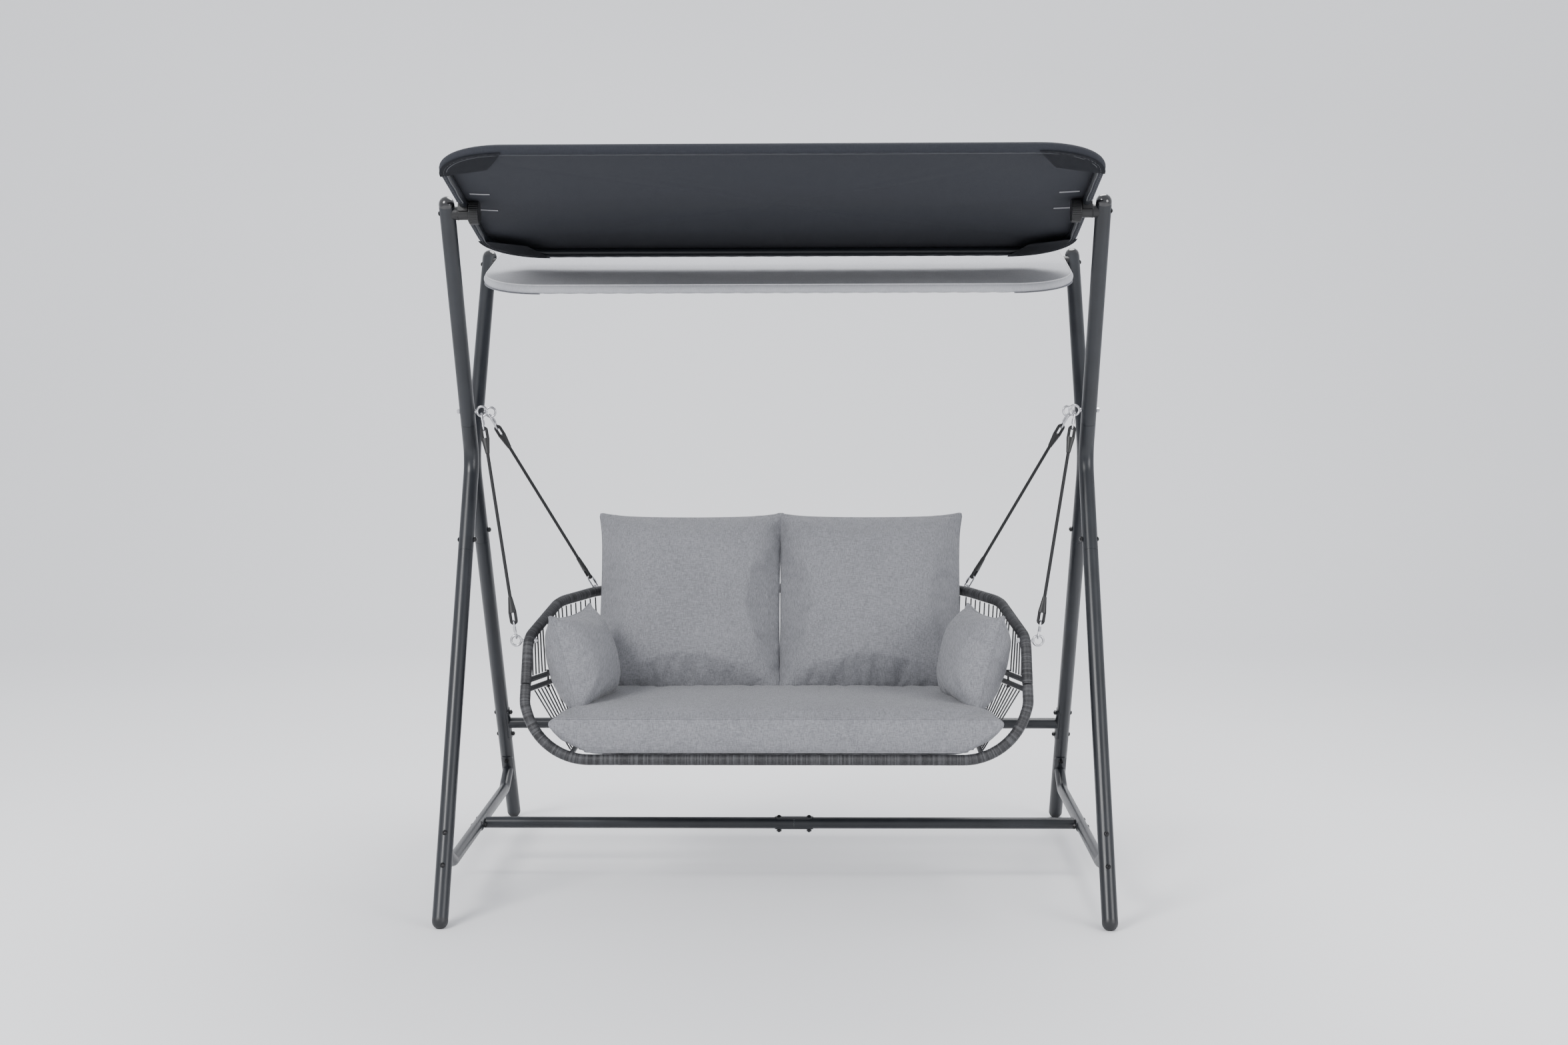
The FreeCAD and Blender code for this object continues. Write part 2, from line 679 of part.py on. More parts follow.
def pivot_bolt(leg):
    """The bolt that a canopy turns on: head outside the leg, tip in the knob."""
    head_x = SIDE_X + LEG_R + CONTACT_GAP
    at = V(head_x, leg.pivot.y, leg.pivot.z)
    tip_x = HUB_INNER_X - KNOB_GAP - KNOB_T * PIN_DEPTH
    head = placed(button_head(), X_AXIS, Z_AXIS, at)
    return joined([head, pivot_axis_rod(leg, tip_x, head_x, BOLT_R)])


# ---------------------------------------------------------------- canopies
def canopy_frame():
    """The tube loop of a canopy, level, with its pivot axis through the origin."""
    x, y, z = CANOPY_RAIL_X, CANOPY_HALF_LENGTH, RAIL_ABOVE_PIVOT
    corners = [V(x, -y, z), V(x, y, z), V(-x, y, z), V(-x, -y, z)]
    radii = [CANOPY_CORNER_R] * 4
    return bent_tube(corners, radii, CANOPY_RAIL_OD, CANOPY_RAIL_WALL, closed=True)


def canopy_slab(grow, low, high):
    """A rounded slab that follows the loop's outline, larger by grow."""
    out = CANOPY_RAIL_OD / 2 + grow
    return rounded_slab(CANOPY_RAIL_X + out, CANOPY_HALF_LENGTH + out,
                        CANOPY_CORNER_R + out, low, high)


def canopy_cover():
    """The stretched cover: a top sheet and skirts, open at the hubs."""
    rail_top = RAIL_ABOVE_PIVOT + CANOPY_RAIL_OD / 2 + CONTACT_GAP
    low = rail_top + COVER_T - COVER_SKIRT
    outside = canopy_slab(CONTACT_GAP + COVER_T, low, rail_top + COVER_T)
    inside = canopy_slab(CONTACT_GAP, low - 1, rail_top)
    width = 2 * (CANOPY_RAIL_X + CANOPY_RAIL_OD)
    opening = Part.makeBox(width, 2 * COVER_CUTOUT, rail_top - CUTOUT_DROP - low + 1,
                           V(-width / 2, -COVER_CUTOUT, low - 1))
    return outside.cut(inside).cut(opening)


def canopy_hub():
    """The turning half of a right-hand knuckle, with a saddle for the rail."""
    barrel = Part.makeCylinder(HUB_R, HUB_DEPTH, V(HUB_INNER_X, 0, 0), X_AXIS)
    wing_t = HUB_DEPTH - 2 * RATCHET_T
    wing = Part.makeBox(wing_t, 2 * HUB_WING, RAIL_ABOVE_PIVOT,
                        V(HUB_INNER_X + RATCHET_T, -HUB_WING, 0))
    rim = ratchet(HUB_OUTER_X - RATCHET_T, V(0, 0, 0))
    body = joined([barrel, wing, rim])
    rail_r = CANOPY_RAIL_OD / 2 + CONTACT_GAP
    rail = Part.makeCylinder(rail_r, 4 * HUB_WING,
                             V(CANOPY_RAIL_X, -2 * HUB_WING, RAIL_ABOVE_PIVOT), Y_AXIS)
    bore = Part.makeCylinder(BOLT_R + PIN_CLEARANCE, 2 * HUB_DEPTH,
                             V(HUB_INNER_X - HUB_DEPTH / 2, 0, 0), X_AXIS)
    above = Part.makeBox(2 * HUB_DEPTH, 4 * HUB_WING, 2 * HUB_R,
                         V(HUB_INNER_X - HUB_DEPTH / 2, -2 * HUB_WING, RAIL_ABOVE_PIVOT))
    return body.cut(rail).cut(bore).cut(above)


def canopy_knob():
    """A fluted right-hand clamping knob on the pivot axis."""
    outer_x = HUB_INNER_X - KNOB_GAP
    body = Part.makeCylinder(KNOB_R, KNOB_T, V(outer_x, 0, 0), -X_AXIS)
    rims = [e for e in body.Edges if e.Curve.TypeId == "Part::GeomCircle"]
    body = body.makeFillet(KNOB_EDGE_R, rims)
    flute_start = V(outer_x + 1, KNOB_R + FLUTE_OUT, 0)
    flute = Part.makeCylinder(FLUTE_R, KNOB_T + 2, flute_start, -X_AXIS)
    flutes = []
    for k in range(KNOB_FLUTES):
        one = flute.copy()
        one.rotate(V(0, 0, 0), X_AXIS, 360.0 * k / KNOB_FLUTES)
        flutes.append(one)
    bore = Part.makeCylinder(BOLT_R + PIN_CLEARANCE, KNOB_T * BORE_DEPTH, V(outer_x, 0, 0), -X_AXIS)
    return body.cut(Part.makeCompound(flutes)).cut(bore)


def on_pivot(shape, leg, tilt):
    """Bring a canopy piece to its pivot, tilted about X."""
    copy = shape.copy()
    copy.rotate(V(0, 0, 0), X_AXIS, tilt)
    copy.translate(V(0, leg.pivot.y, leg.pivot.z))
    return copy


# ---------------------------------------------------------------- hangers
def quick_link(bow, along, flat):
    """A quick link: the centre of its first end, its direction, and its plane's normal."""
    side = unit(flat.cross(along))
    far = bow + along * LINK_PITCH
    wide = side * LINK_BOW_R
    reach = along * LINK_BOW_R
    corners = [bow + wide - reach, far + wide + reach, far - wide + reach, bow - wide - reach]
    return bent_tube(corners, [LINK_BOW_R * BOW_SHARE] * 4, 2 * LINK_WIRE_R, 0, closed=True)


def link_nut(bow, along, flat):
    """The sleeve nut on one side of a quick link."""
    side = unit(flat.cross(along))
    middle = bow + along * (LINK_PITCH / 2) + side * LINK_BOW_R
    nut = hexagon(LINK_NUT_R, LINK_NUT_LENGTH)
    nut = nut.cut(Part.makeCylinder(LINK_WIRE_R + CONTACT_GAP / 2, LINK_NUT_LENGTH))
    return placed(nut, along, flat, middle - along * (LINK_NUT_LENGTH / 2))


def rope_loop(centre, along, flat):
    """The rope's end loop, open towards the sleeve: along points to the sleeve."""
    side = unit(flat.cross(along))
    wide = side * LOOP_R
    top = along * LOOP_R
    foot = along * LOOP_LEG
    corners = [centre + wide + foot, centre + wide - top, centre - wide - top, centre - wide + foot]
    return bent_tube(corners, [LOOP_R * BOW_SHARE] * 2, 2 * LOOP_STRAND_R)


def rope_sleeve(mouth, along, flat):
    """The moulded sleeve that grips the rope below its loop."""
    oval = Part.Wire(Part.Ellipse(V(0, 0, 0), SLEEVE_MOUTH[0], SLEEVE_MOUTH[1]).toShape())
    tip = Part.Wire(Part.makeCircle(SLEEVE_TIP_R, V(0, 0, SLEEVE_LENGTH)))
    body = Part.makeLoft([oval, tip], True)
    return placed(body, along, unit(flat.cross(along)), mouth)


LINK_REACH = LINK_PITCH + LINK_BOW_R
FITTING_REACH = LINK_REACH + LOOP_LEG + SLEEVE_LENGTH


class Hanger:
    """One rope with a loop, a sleeve and a quick link at each end.

    bow_line is the axis of the ring that the lower link's end passes through;
    without it the lower link closes round the ring's wire, edge on to X.
    """

    def __init__(self, top, bottom, bow_line=None):
        self.along = unit(bottom - top)
        self.top = top
        self.bottom = bottom
        upper_flat = unit(X_AXIS - self.along * self.along.x)
        lower_flat = unit(self.along.cross(bow_line)) if bow_line else upper_flat
        self.ends = [(top, self.along, upper_flat), (bottom, -self.along, lower_flat)]

    def fittings(self):
        """Quick links, their nuts, loops and sleeves of both ends."""
        links = [quick_link(p, way, flat) for p, way, flat in self.ends]
        nuts = [link_nut(p, way, flat) for p, way, flat in self.ends]
        loops = []
        sleeves = []
        for p, way, flat in self.ends:
            loop_flat = unit(way.cross(flat))
            loops.append(rope_loop(p + way * LINK_REACH, way, loop_flat))
            mouth = p + way * (LINK_REACH + LOOP_LEG + CONTACT_GAP)
            sleeves.append(rope_sleeve(mouth, way, loop_flat))
        return links, nuts, loops, sleeves

    def rope(self):
        """The straight rope between the two sleeves."""
        reach = FITTING_REACH + 2 * CONTACT_GAP
        return cylinder(self.top + self.along * reach, self.bottom - self.along * reach, ROPE_R)


# ---------------------------------------------------------------- seat basket
def rim_start(next_point):
    """The end of a rim at the seam, set back by the seam's gap."""
    return SEAM + unit(next_point - SEAM) * RIM_SEAM_GAP


UPPER_RIM = across([rim_start(ARM_FRONT), ARM_FRONT, ARM_REAR, BACK_CORNER])
UPPER_RIM_RADII = UPPER_RIM_R + UPPER_RIM_R[::-1]
LOWER_RIM = across([rim_start(SIDE_BEND), SIDE_BEND, FRONT_CORNER])
LOWER_RIM_RADII = LOWER_RIM_R + LOWER_RIM_R[::-1]
UPPER_HOOP = across([HOOP_START, HOOP_SIDE, HOOP_CORNER])
LOWER_HOOP = [p - V(0, 0, HOOP_STEP) for p in UPPER_HOOP]
HOOP_RADII = HOOP_R + HOOP_R[::-1]
FLOOR_HOOP = across([FLOOR_FRONT, FLOOR_CORNER])
FLOOR_RADII = (FLOOR_R, FLOOR_R)


def front_seat_eye():
    """Ring centre and shank direction of the right-hand front eye."""
    point = on_bend(UPPER_RIM, UPPER_RIM_RADII, 0, FRONT_EYE_TURN)[0]
    reach = WRAP_OD / 2 + EYE_STANDOFF + EYE_MEAN_R + EYE_WIRE_R
    return point + X_AXIS * reach, -X_AXIS, point


def rear_seat_eye():
    """Ring centre and shank direction of the right-hand rear eye."""
    point, outward = on_bend(UPPER_RIM, UPPER_RIM_RADII, 2, REAR_EYE_TURN)
    outward = unit(V(outward.x, outward.y, 0))
    reach = WRAP_OD / 2 + EYE_STANDOFF + EYE_MEAN_R + EYE_WIRE_R
    return point + outward * reach, -outward, point


def rear_pull():
    """The direction in which the rear rope leaves the frame for the seat."""
    return unit(rear_seat_eye()[0] - frame_eye_centre(REAR) + V(0, 0, EYE_MEAN_R))


def rear_ring_axis():
    """The axis of the rear seat ring, which is turned to lie in line with its rope."""
    return unit(rear_seat_eye()[1].cross(rear_pull()))


def seat_eye_holes():
    """The holes of the right-hand eyes through the rim."""
    holes = []
    for centre, way, point in (front_seat_eye(), rear_seat_eye()):
        holes.append(cylinder(point - way * WRAP_OD, point + way * WRAP_OD, BOLT_HOLE_R))
    return holes


def seat_eyes():
    """The right-hand seat eye bolts with their nuts inside the basket."""
    parts = []
    axes = (Y_AXIS, rear_ring_axis())
    for (centre, way, point), ring_axis in zip((front_seat_eye(), rear_seat_eye()), axes):
        nut_at = point + way * (WRAP_OD / 2 + SEAT_GAP)
        length = (nut_at - centre).Length + NUT_H + BOLT_TAIL - EYE_MEAN_R
        parts.extend(eye_bolt(centre, ring_axis, way, length, nut_at))
    return parts


def frame_bolt_places():
    """Where bolts join the two hoops: two at the back and two at the sides."""
    back = V(FRAME_BOLT_X, HOOP_CORNER.y, HOOP_CORNER.z)
    side = HOOP_START + (HOOP_SIDE - HOOP_START) * FRAME_BOLT_SHARE
    return [back, side]


def frame_bolt(point):
    """A bolt down through both hoops with its nut."""
    top = point + V(0, 0, HOOP_OD / 2 + SEAT_GAP)
    grip = HOOP_STEP + HOOP_OD + 2 * SEAT_GAP
    head = Part.makeCylinder(FRAME_HEAD_R, FRAME_HEAD_H)
    shank = Part.makeCylinder(FRAME_BOLT_R, grip + FRAME_NUT_H + BOLT_TAIL, V(0, 0, 0), -Z_AXIS)
    nut = hexagon(FRAME_HEAD_R, FRAME_NUT_H)
    nut = nut.cut(Part.makeCylinder(FRAME_BOLT_R + CONTACT_GAP / 2, FRAME_NUT_H))
    nut.translate(V(0, 0, -grip - FRAME_NUT_H))
    return [placed(p, Z_AXIS, X_AXIS, top) for p in (joined([head, shank]), nut)]


def frame_bolt_holes():
    """Holes for the hoop bolts on both sides."""
    above = V(0, 0, 2 * HOOP_OD)
    below = V(0, 0, HOOP_STEP + 2 * HOOP_OD)
    holes = [cylinder(p + above, p - below, FRAME_HOLE_R) for p in frame_bolt_places()]
    return holes + [mirrored(h) for h in holes]


def seat_upper_frame():
    """The upper rim's steel core welded to the upper hoop."""
    rim = bent_tube(UPPER_RIM, UPPER_RIM_RADII, RIM_CORE_OD, RIM_WALL)
    hoop = bent_tube(UPPER_HOOP, HOOP_RADII, HOOP_OD, HOOP_WALL)
    bore = bent_tube(UPPER_RIM, UPPER_RIM_RADII, RIM_CORE_OD - 2 * RIM_WALL)
    holes = seat_eye_holes()
    holes += [mirrored(h) for h in holes]
    frame = joined([rim, hoop.cut(bore)])
    return biggest(frame.cut(Part.makeCompound(holes + frame_bolt_holes())))


def biggest(shape):
    """The largest solid of a shape."""
    return max(shape.Solids, key=lambda s: s.Volume)


def seat_lower_frame():
    """The lower rim's steel core welded to the lower hoop and the floor hoop."""
    rim = bent_tube(LOWER_RIM, LOWER_RIM_RADII, RIM_CORE_OD, RIM_WALL)
    bore = bent_tube(LOWER_RIM, LOWER_RIM_RADII, RIM_CORE_OD - 2 * RIM_WALL)
    hoop = bent_tube(LOWER_HOOP, HOOP_RADII, HOOP_OD, HOOP_WALL)
    floor = bent_tube(FLOOR_HOOP, FLOOR_RADII, HOOP_OD, HOOP_WALL)
    frame = joined([rim, hoop.cut(bore), floor.cut(bore)])
    return biggest(frame.cut(Part.makeCompound(frame_bolt_holes())))


def wrap(points, radii, cuts):
    """The woven wrap round a rim, cut where tubes and bolts pass."""
    wall = (WRAP_OD - RIM_CORE_OD) / 2 - CONTACT_GAP
    return biggest(bent_tube(points, radii, WRAP_OD, wall).cut(Part.makeCompound(cuts)))


def upper_rim_wrap():
    """The wrap of the upper rim."""
    hoop = bent_tube(UPPER_HOOP, HOOP_RADII, HOOP_OD + 2 * CONTACT_GAP)
    holes = seat_eye_holes()
    return wrap(UPPER_RIM, UPPER_RIM_RADII, [hoop] + holes + [mirrored(h) for h in holes])


def lower_rim_wrap():
    """The wrap of the lower rim."""
    hoop = bent_tube(LOWER_HOOP, HOOP_RADII, HOOP_OD + 2 * CONTACT_GAP)
    floor = bent_tube(FLOOR_HOOP, FLOOR_RADII, HOOP_OD + 2 * CONTACT_GAP)
    return wrap(LOWER_RIM, LOWER_RIM_RADII, [hoop, floor])


def standoff(along, tangent, tube_r):
    """How far along a string its end must stand from a tube's centre line."""
    angle = along.getAngle(tangent)
    return (tube_r + STRING_GAP) / math.sin(angle) + STRING_R / abs(math.tan(angle))


def string_between(start, end, start_r, end_r, start_tangent=X_AXIS, end_tangent=X_AXIS):
    """A taut string between two tubes, clear of their surfaces."""
    along = unit(end - start)
    first = start + along * standoff(along, start_tangent, start_r)
    last = end - along * standoff(along, end_tangent, end_r)
    return cylinder(first, last, STRING_R)


def tangents(points):
    """The directions of a run of points along a curve."""
    last = len(points) - 1
    return [points[min(i + 1, last)] - points[max(i - 1, 0)] for i in range(last + 1)]


def strung(upper, lower, upper_r, lower_r, bolts):
    """Strings evenly shared along two centre lines, left out where a bolt stands."""
    count = int(min(upper.Length, lower.Length) / STRING_PITCH)
    tops = upper.discretize(Number=count)
    feet = lower.discretize(Number=count)
    ends = zip(tops, feet, tangents(tops), tangents(feet))
    strings = [string_between(t, f, upper_r, lower_r, u, v) for t, f, u, v in ends]
    return [s for s in strings if s.distToShape(bolts)[0] > STRING_GAP]


def frame_bolt_clearance():
    """The space round the hoop bolts that no string may enter."""
    rods = [cylinder(p + V(0, 0, 2 * HOOP_OD), p - V(0, 0, HOOP_STEP + 2 * HOOP_OD), FRAME_HEAD_R)
            for p in frame_bolt_places()]
    return both_sides(rods)


def trimmed(points, start_share):
    """A path with its first and last runs shortened."""
    first = points[0] + (points[1] - points[0]) * start_share
    last = points[-1] + (points[-2] - points[-1]) * start_share
    return [first] + points[1:-1] + [last]


def back_strings():
    """The strings of the arms and back, from the upper rim to the upper hoop."""
    arcs = bends_of(UPPER_RIM, UPPER_RIM_RADII)
    points = [arcs[0][1]] + UPPER_RIM[2:-2] + [arcs[-1][0]]
    rim = path_wire(points, UPPER_RIM_RADII[1:-1])
    hoop = path_wire(trimmed(UPPER_HOOP, HOOP_FREE_SHARE), HOOP_RADII)
    return group(strung(rim, hoop, WRAP_OD / 2, HOOP_OD / 2, frame_bolt_clearance()))


def seat_strings():
    """The strings round the bowl and across the floor of the basket."""
    hoop = path_wire(trimmed(LOWER_HOOP, HOOP_FREE_SHARE), HOOP_RADII)
    floor = path_wire(trimmed(FLOOR_HOOP, HOOP_FREE_SHARE), FLOOR_RADII)
    bowl = strung(hoop, floor, HOOP_OD / 2, HOOP_OD / 2, frame_bolt_clearance())
    count = int(2 * (FLOOR_CORNER.x - FLOOR_R) / STRING_PITCH)
    across_floor = []
    for k in range(count + 1):
        x = (FLOOR_CORNER.x - FLOOR_R) * (2.0 * k / count - 1)
        front = V(x, FLOOR_FRONT.y, FLOOR_FRONT.z)
        back = V(x, FLOOR_CORNER.y, FLOOR_CORNER.z)
        across_floor.append(string_between(front, back, WRAP_OD / 2, HOOP_OD / 2))
    return group(bowl + across_floor)


# ---------------------------------------------------------------- cushions
def cushion(size):
    """A plain rounded block for a cushion, centred on the origin."""
    x, y, z = size
    block = Part.makeBox(x, y, z, V(-x / 2, -y / 2, -z / 2))
    return block.makeFillet(min(size) * CUSHION_ROUND, block.Edges)


def pad_section(y, inset):
    """The outline of the seat cushion in a plane across the seat."""
    right = [V(PAD_BOTTOM_X - inset, y, PAD_BOTTOM_Z), V(PAD_SIDE_X - inset, y, PAD_SIDE_Z),
             V(PAD_TOP_X - inset, y, PAD_TOP_Z)]
    outline = across(right)
    return Part.makePolygon(outline + outline[:1])


def seat_pad():
    """The seat cushion: narrower at the bottom and at the back."""
    pad = Part.makeLoft([pad_section(PAD_FRONT_Y, 0), pad_section(PAD_BACK_Y, PAD_TAPER)], True, True)
    side = PAD_CORNER_CUT * math.sqrt(2)
    cut = Part.makeBox(side, side, 4 * PAD_TOP_Z, V(-side / 2, -side / 2, 0))
    cut.rotate(V(0, 0, 0), Z_AXIS, 45)
    cut.translate(V(PAD_SIDE_X - PAD_TAPER, PAD_BACK_Y, 0))
    pad = pad.cut(cut).cut(mirrored(cut))
    edges = [e for e in pad.Edges if e.BoundBox.XLength > PAD_SIDE_X and e.BoundBox.ZLength < 1]
    return pad.makeFillet(PAD_ROUND, edges)


def back_cushion():
    """The right-hand back cushion, leaning on the top rail."""
    block = cushion(BACK_CUSHION)
    block.translate(V(0, 0, BACK_CUSHION[2] / 2))
    block.rotate(V(0, 0, 0), X_AXIS, -BACK_CUSHION_LEAN)
    block.translate(BACK_CUSHION_FOOT + V(BACK_CUSHION_X, 0, 0))
    return block


def arm_cushion():
    """The right-hand arm cushion, leaning on the arm."""
    block = cushion(ARM_CUSHION)
    block.rotate(V(0, 0, 0), Y_AXIS, ARM_CUSHION_LEAN)
    block.rotate(V(0, 0, 0), Z_AXIS, ARM_CUSHION_YAW)
    block.translate(ARM_CUSHION_AT)
    return block


# ---------------------------------------------------------------- assembly
def stand_nodes():
    """The nodes of the fixed stand."""
    front_holes = through_holes(FRONT_BRACE_BOLTS, FRONT_BRACE_FACING, LEG_R)
    rear_holes = through_holes(REAR_BRACE_BOLTS, REAR_BRACE_FACING, LEG_R)
    rear_holes += through_holes(REAR_BAR_BOLTS, X_AXIS, LEG_R)
    right = {
        "x_node": side_node(),
        "front_upper_leg": upper_leg(FRONT),
        "rear_upper_leg": upper_leg(REAR),
        "front_lower_leg": lower_leg(FRONT, front_holes),
        "rear_lower_leg": lower_leg(REAR, rear_holes),
        "side_brace": side_brace(),
    }
    nodes = {}
    for name, shape in right.items():
        nodes[name + "_right"] = shape
        nodes[name + "_left"] = mirrored(shape)
    brace_bolts = through_bolts(FRONT_BRACE_BOLTS, FRONT_BRACE_FACING, LEG_R)
    brace_bolts += through_bolts(REAR_BRACE_BOLTS, REAR_BRACE_FACING, LEG_R)
    bar_bolts = through_bolts(REAR_BAR_BOLTS, -X_AXIS, LEG_R)
    bar_bolts += through_bolts(FRONT_BAR_BOLTS, -X_AXIS, BAR_R)
    nodes["leg_top_caps"] = both_sides([top_cap(FRONT), top_cap(REAR)])
    nodes["foot_caps"] = both_sides([foot_cap(FRONT), foot_cap(REAR)])
    nodes["rear_crossbar"] = rear_crossbar()
    nodes["front_crossbar_right"] = front_crossbar(1)
    nodes["front_crossbar_left"] = front_crossbar(-1)
    nodes["splice_plates"] = splice_plates()
    nodes["leg_bolts"] = both_sides(leg_bolts())
    nodes["brace_bolts"] = both_sides(brace_bolts)
    nodes["crossbar_bolts"] = group([both_sides(bar_bolts)] + splice_bolts())
    nodes["frame_eye_bolts"] = both_sides(frame_eyes())
    nodes["pivot_bases"] = both_sides([pivot_base(FRONT), pivot_base(REAR)])
    nodes["pivot_bolts"] = both_sides([pivot_bolt(FRONT), pivot_bolt(REAR)])
    return nodes


def canopy_nodes():
    """The nodes of both canopies and their knobs."""
    nodes = {}
    hub = canopy_hub()
    knob = canopy_knob()
    for name, leg, tilt in (("front", FRONT, -CANOPY_TILT), ("rear", REAR, CANOPY_TILT)):
        nodes[name + "_canopy_frame"] = on_pivot(canopy_frame(), leg, tilt)
        nodes[name + "_canopy_cover"] = on_pivot(canopy_cover(), leg, tilt)
        nodes[name + "_canopy_hubs"] = on_pivot(both_sides([hub]), leg, tilt)
        nodes[name + "_knob_right"] = on_pivot(knob, leg, tilt)
        nodes[name + "_knob_left"] = on_pivot(mirrored(knob), leg, tilt)
    return nodes


def hangers():
    """The right-hand front and rear hangers."""
    drop = V(0, 0, EYE_MEAN_R)
    front = Hanger(frame_eye_centre(FRONT) - drop, front_seat_eye()[0] + drop)
    rear_top = frame_eye_centre(REAR) - drop
    rear_foot = rear_seat_eye()[0] + V(0, REAR_LINK_SETBACK, 0)
    rear_foot = rear_foot - rear_pull() * (REAR_LINK_DROP + LINK_BOW_R)
    rear = Hanger(rear_top, rear_foot, rear_ring_axis())
    return {"front": front, "rear": rear}


def hanger_nodes():
    """The nodes of both pairs of hangers."""
    nodes = {}
    for name, hanger in hangers().items():
        links, nuts, loops, sleeves = hanger.fittings()
        nodes[name + "_quick_links"] = both_sides(links)
        nodes[name + "_link_nuts"] = both_sides(nuts)
        nodes[name + "_rope_loops"] = both_sides(loops)
        nodes[name + "_rope_sleeves"] = both_sides(sleeves)
        nodes[name + "_rope_right"] = hanger.rope()
        nodes[name + "_rope_left"] = mirrored(hanger.rope())
    return nodes


def seat_nodes():
    """The nodes of the seat."""
    bolts = []
    for place in frame_bolt_places():
        bolts.extend(frame_bolt(place))
    return {
        "seat_upper_frame": seat_upper_frame(),
        "seat_lower_frame": seat_lower_frame(),
        "upper_rim_wrap": upper_rim_wrap(),
        "lower_rim_wrap": lower_rim_wrap(),
        "back_strings": back_strings(),
        "seat_strings": seat_strings(),
        "seat_eye_bolts": both_sides(seat_eyes()),
        "seat_frame_bolts": both_sides(bolts),
        "seat_cushion": seat_pad(),
        "back_cushion_right": back_cushion(),
        "back_cushion_left": mirrored(back_cushion()),
        "arm_cushion_right": arm_cushion(),
        "arm_cushion_left": mirrored(arm_cushion()),
    }


def main():
    """Build every node, centre the swing over the origin and write the files."""
    os.makedirs("parts", exist_ok=True)
    nodes = {}
    for make in (stand_nodes, canopy_nodes, hanger_nodes, seat_nodes):
        nodes.update(make())
    box = Part.makeCompound(list(nodes.values())).BoundBox
    shift = V(0, -(box.YMin + box.YMax) / 2, 0)
    for name, shape in sorted(nodes.items()):
        shape.translate(shift)
        shape.exportStep("parts/" + name + ".step")
        if not shape.isValid():
            print("not valid:", name)
    print("nodes", len(nodes), "shift in Y %.3f" % shift.y)
    for name, hanger in hangers().items():
        top = hanger.top + shift
        foot = hanger.bottom + shift
        length = (foot - top).Length - 2 * FITTING_REACH
        print(name, "hanger from", top, "to", foot, "rope length %.1f, straight, no bends" % length)
    for name, leg in (("front", FRONT), ("rear", REAR)):
        foot = leg.at_height(FOOT_CENTRE_Z) + shift
        print(name, "canopy pivot", leg.pivot + shift, "middle of the foot's flat, Y %.3f" % foot.y)
    print("rear seat eye", rear_seat_eye()[0] + shift, "front seat eye", front_seat_eye()[0] + shift)


main()
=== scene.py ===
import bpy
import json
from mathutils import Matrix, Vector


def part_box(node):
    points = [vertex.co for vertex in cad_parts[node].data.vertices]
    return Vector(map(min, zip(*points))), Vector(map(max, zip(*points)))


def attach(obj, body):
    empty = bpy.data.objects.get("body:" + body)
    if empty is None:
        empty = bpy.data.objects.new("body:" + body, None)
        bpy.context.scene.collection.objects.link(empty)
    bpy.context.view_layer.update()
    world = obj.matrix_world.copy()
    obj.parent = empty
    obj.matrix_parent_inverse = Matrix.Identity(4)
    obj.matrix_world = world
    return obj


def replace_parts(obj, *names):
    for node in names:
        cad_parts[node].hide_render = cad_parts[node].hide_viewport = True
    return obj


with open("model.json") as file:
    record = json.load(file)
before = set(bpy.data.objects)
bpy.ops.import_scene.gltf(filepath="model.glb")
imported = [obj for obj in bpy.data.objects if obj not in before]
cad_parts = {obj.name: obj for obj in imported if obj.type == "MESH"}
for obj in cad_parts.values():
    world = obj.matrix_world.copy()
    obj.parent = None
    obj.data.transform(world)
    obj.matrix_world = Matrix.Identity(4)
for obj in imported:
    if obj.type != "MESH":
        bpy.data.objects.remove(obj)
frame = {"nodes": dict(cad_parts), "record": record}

"""Looks of a two-seat hanging basket swing with two tilting canopies."""
import json
import logging
import math
import random
from dataclasses import dataclass, field
from enum import Enum
from typing import Callable, Iterable, Optional, Sequence

import bmesh
import bpy
from mathutils import Matrix, Vector
from mathutils.bvhtree import BVHTree

LOG = logging.getLogger("swing")
NODES = frame["nodes"]
CENTRE_SHIFT = Vector((0.0, 0.029187, 0.0))   # the stand's middle to the row's origin
FULL_TURN = 2.0 * math.pi


class Slot(str, Enum):
    """Material slots of the record."""

    FRAME = "frame_paint"
    CAP = "cap_gloss"
    FOOT = "foot_plastic"
    BOLT = "black_bolts"
    ZINC = "zinc"
    KNUCKLE = "knuckle_plastic"
    FRONT_CLOTH = "front_canopy_cloth"
    REAR_CLOTH = "rear_canopy_cloth"
    ROPE = "rope"
    SLEEVE = "sleeve_plastic"
    HOOP = "hoop_paint"
    WICKER = "wicker"
    STRING = "strings"
    CUSHION = "cushion_fabric"


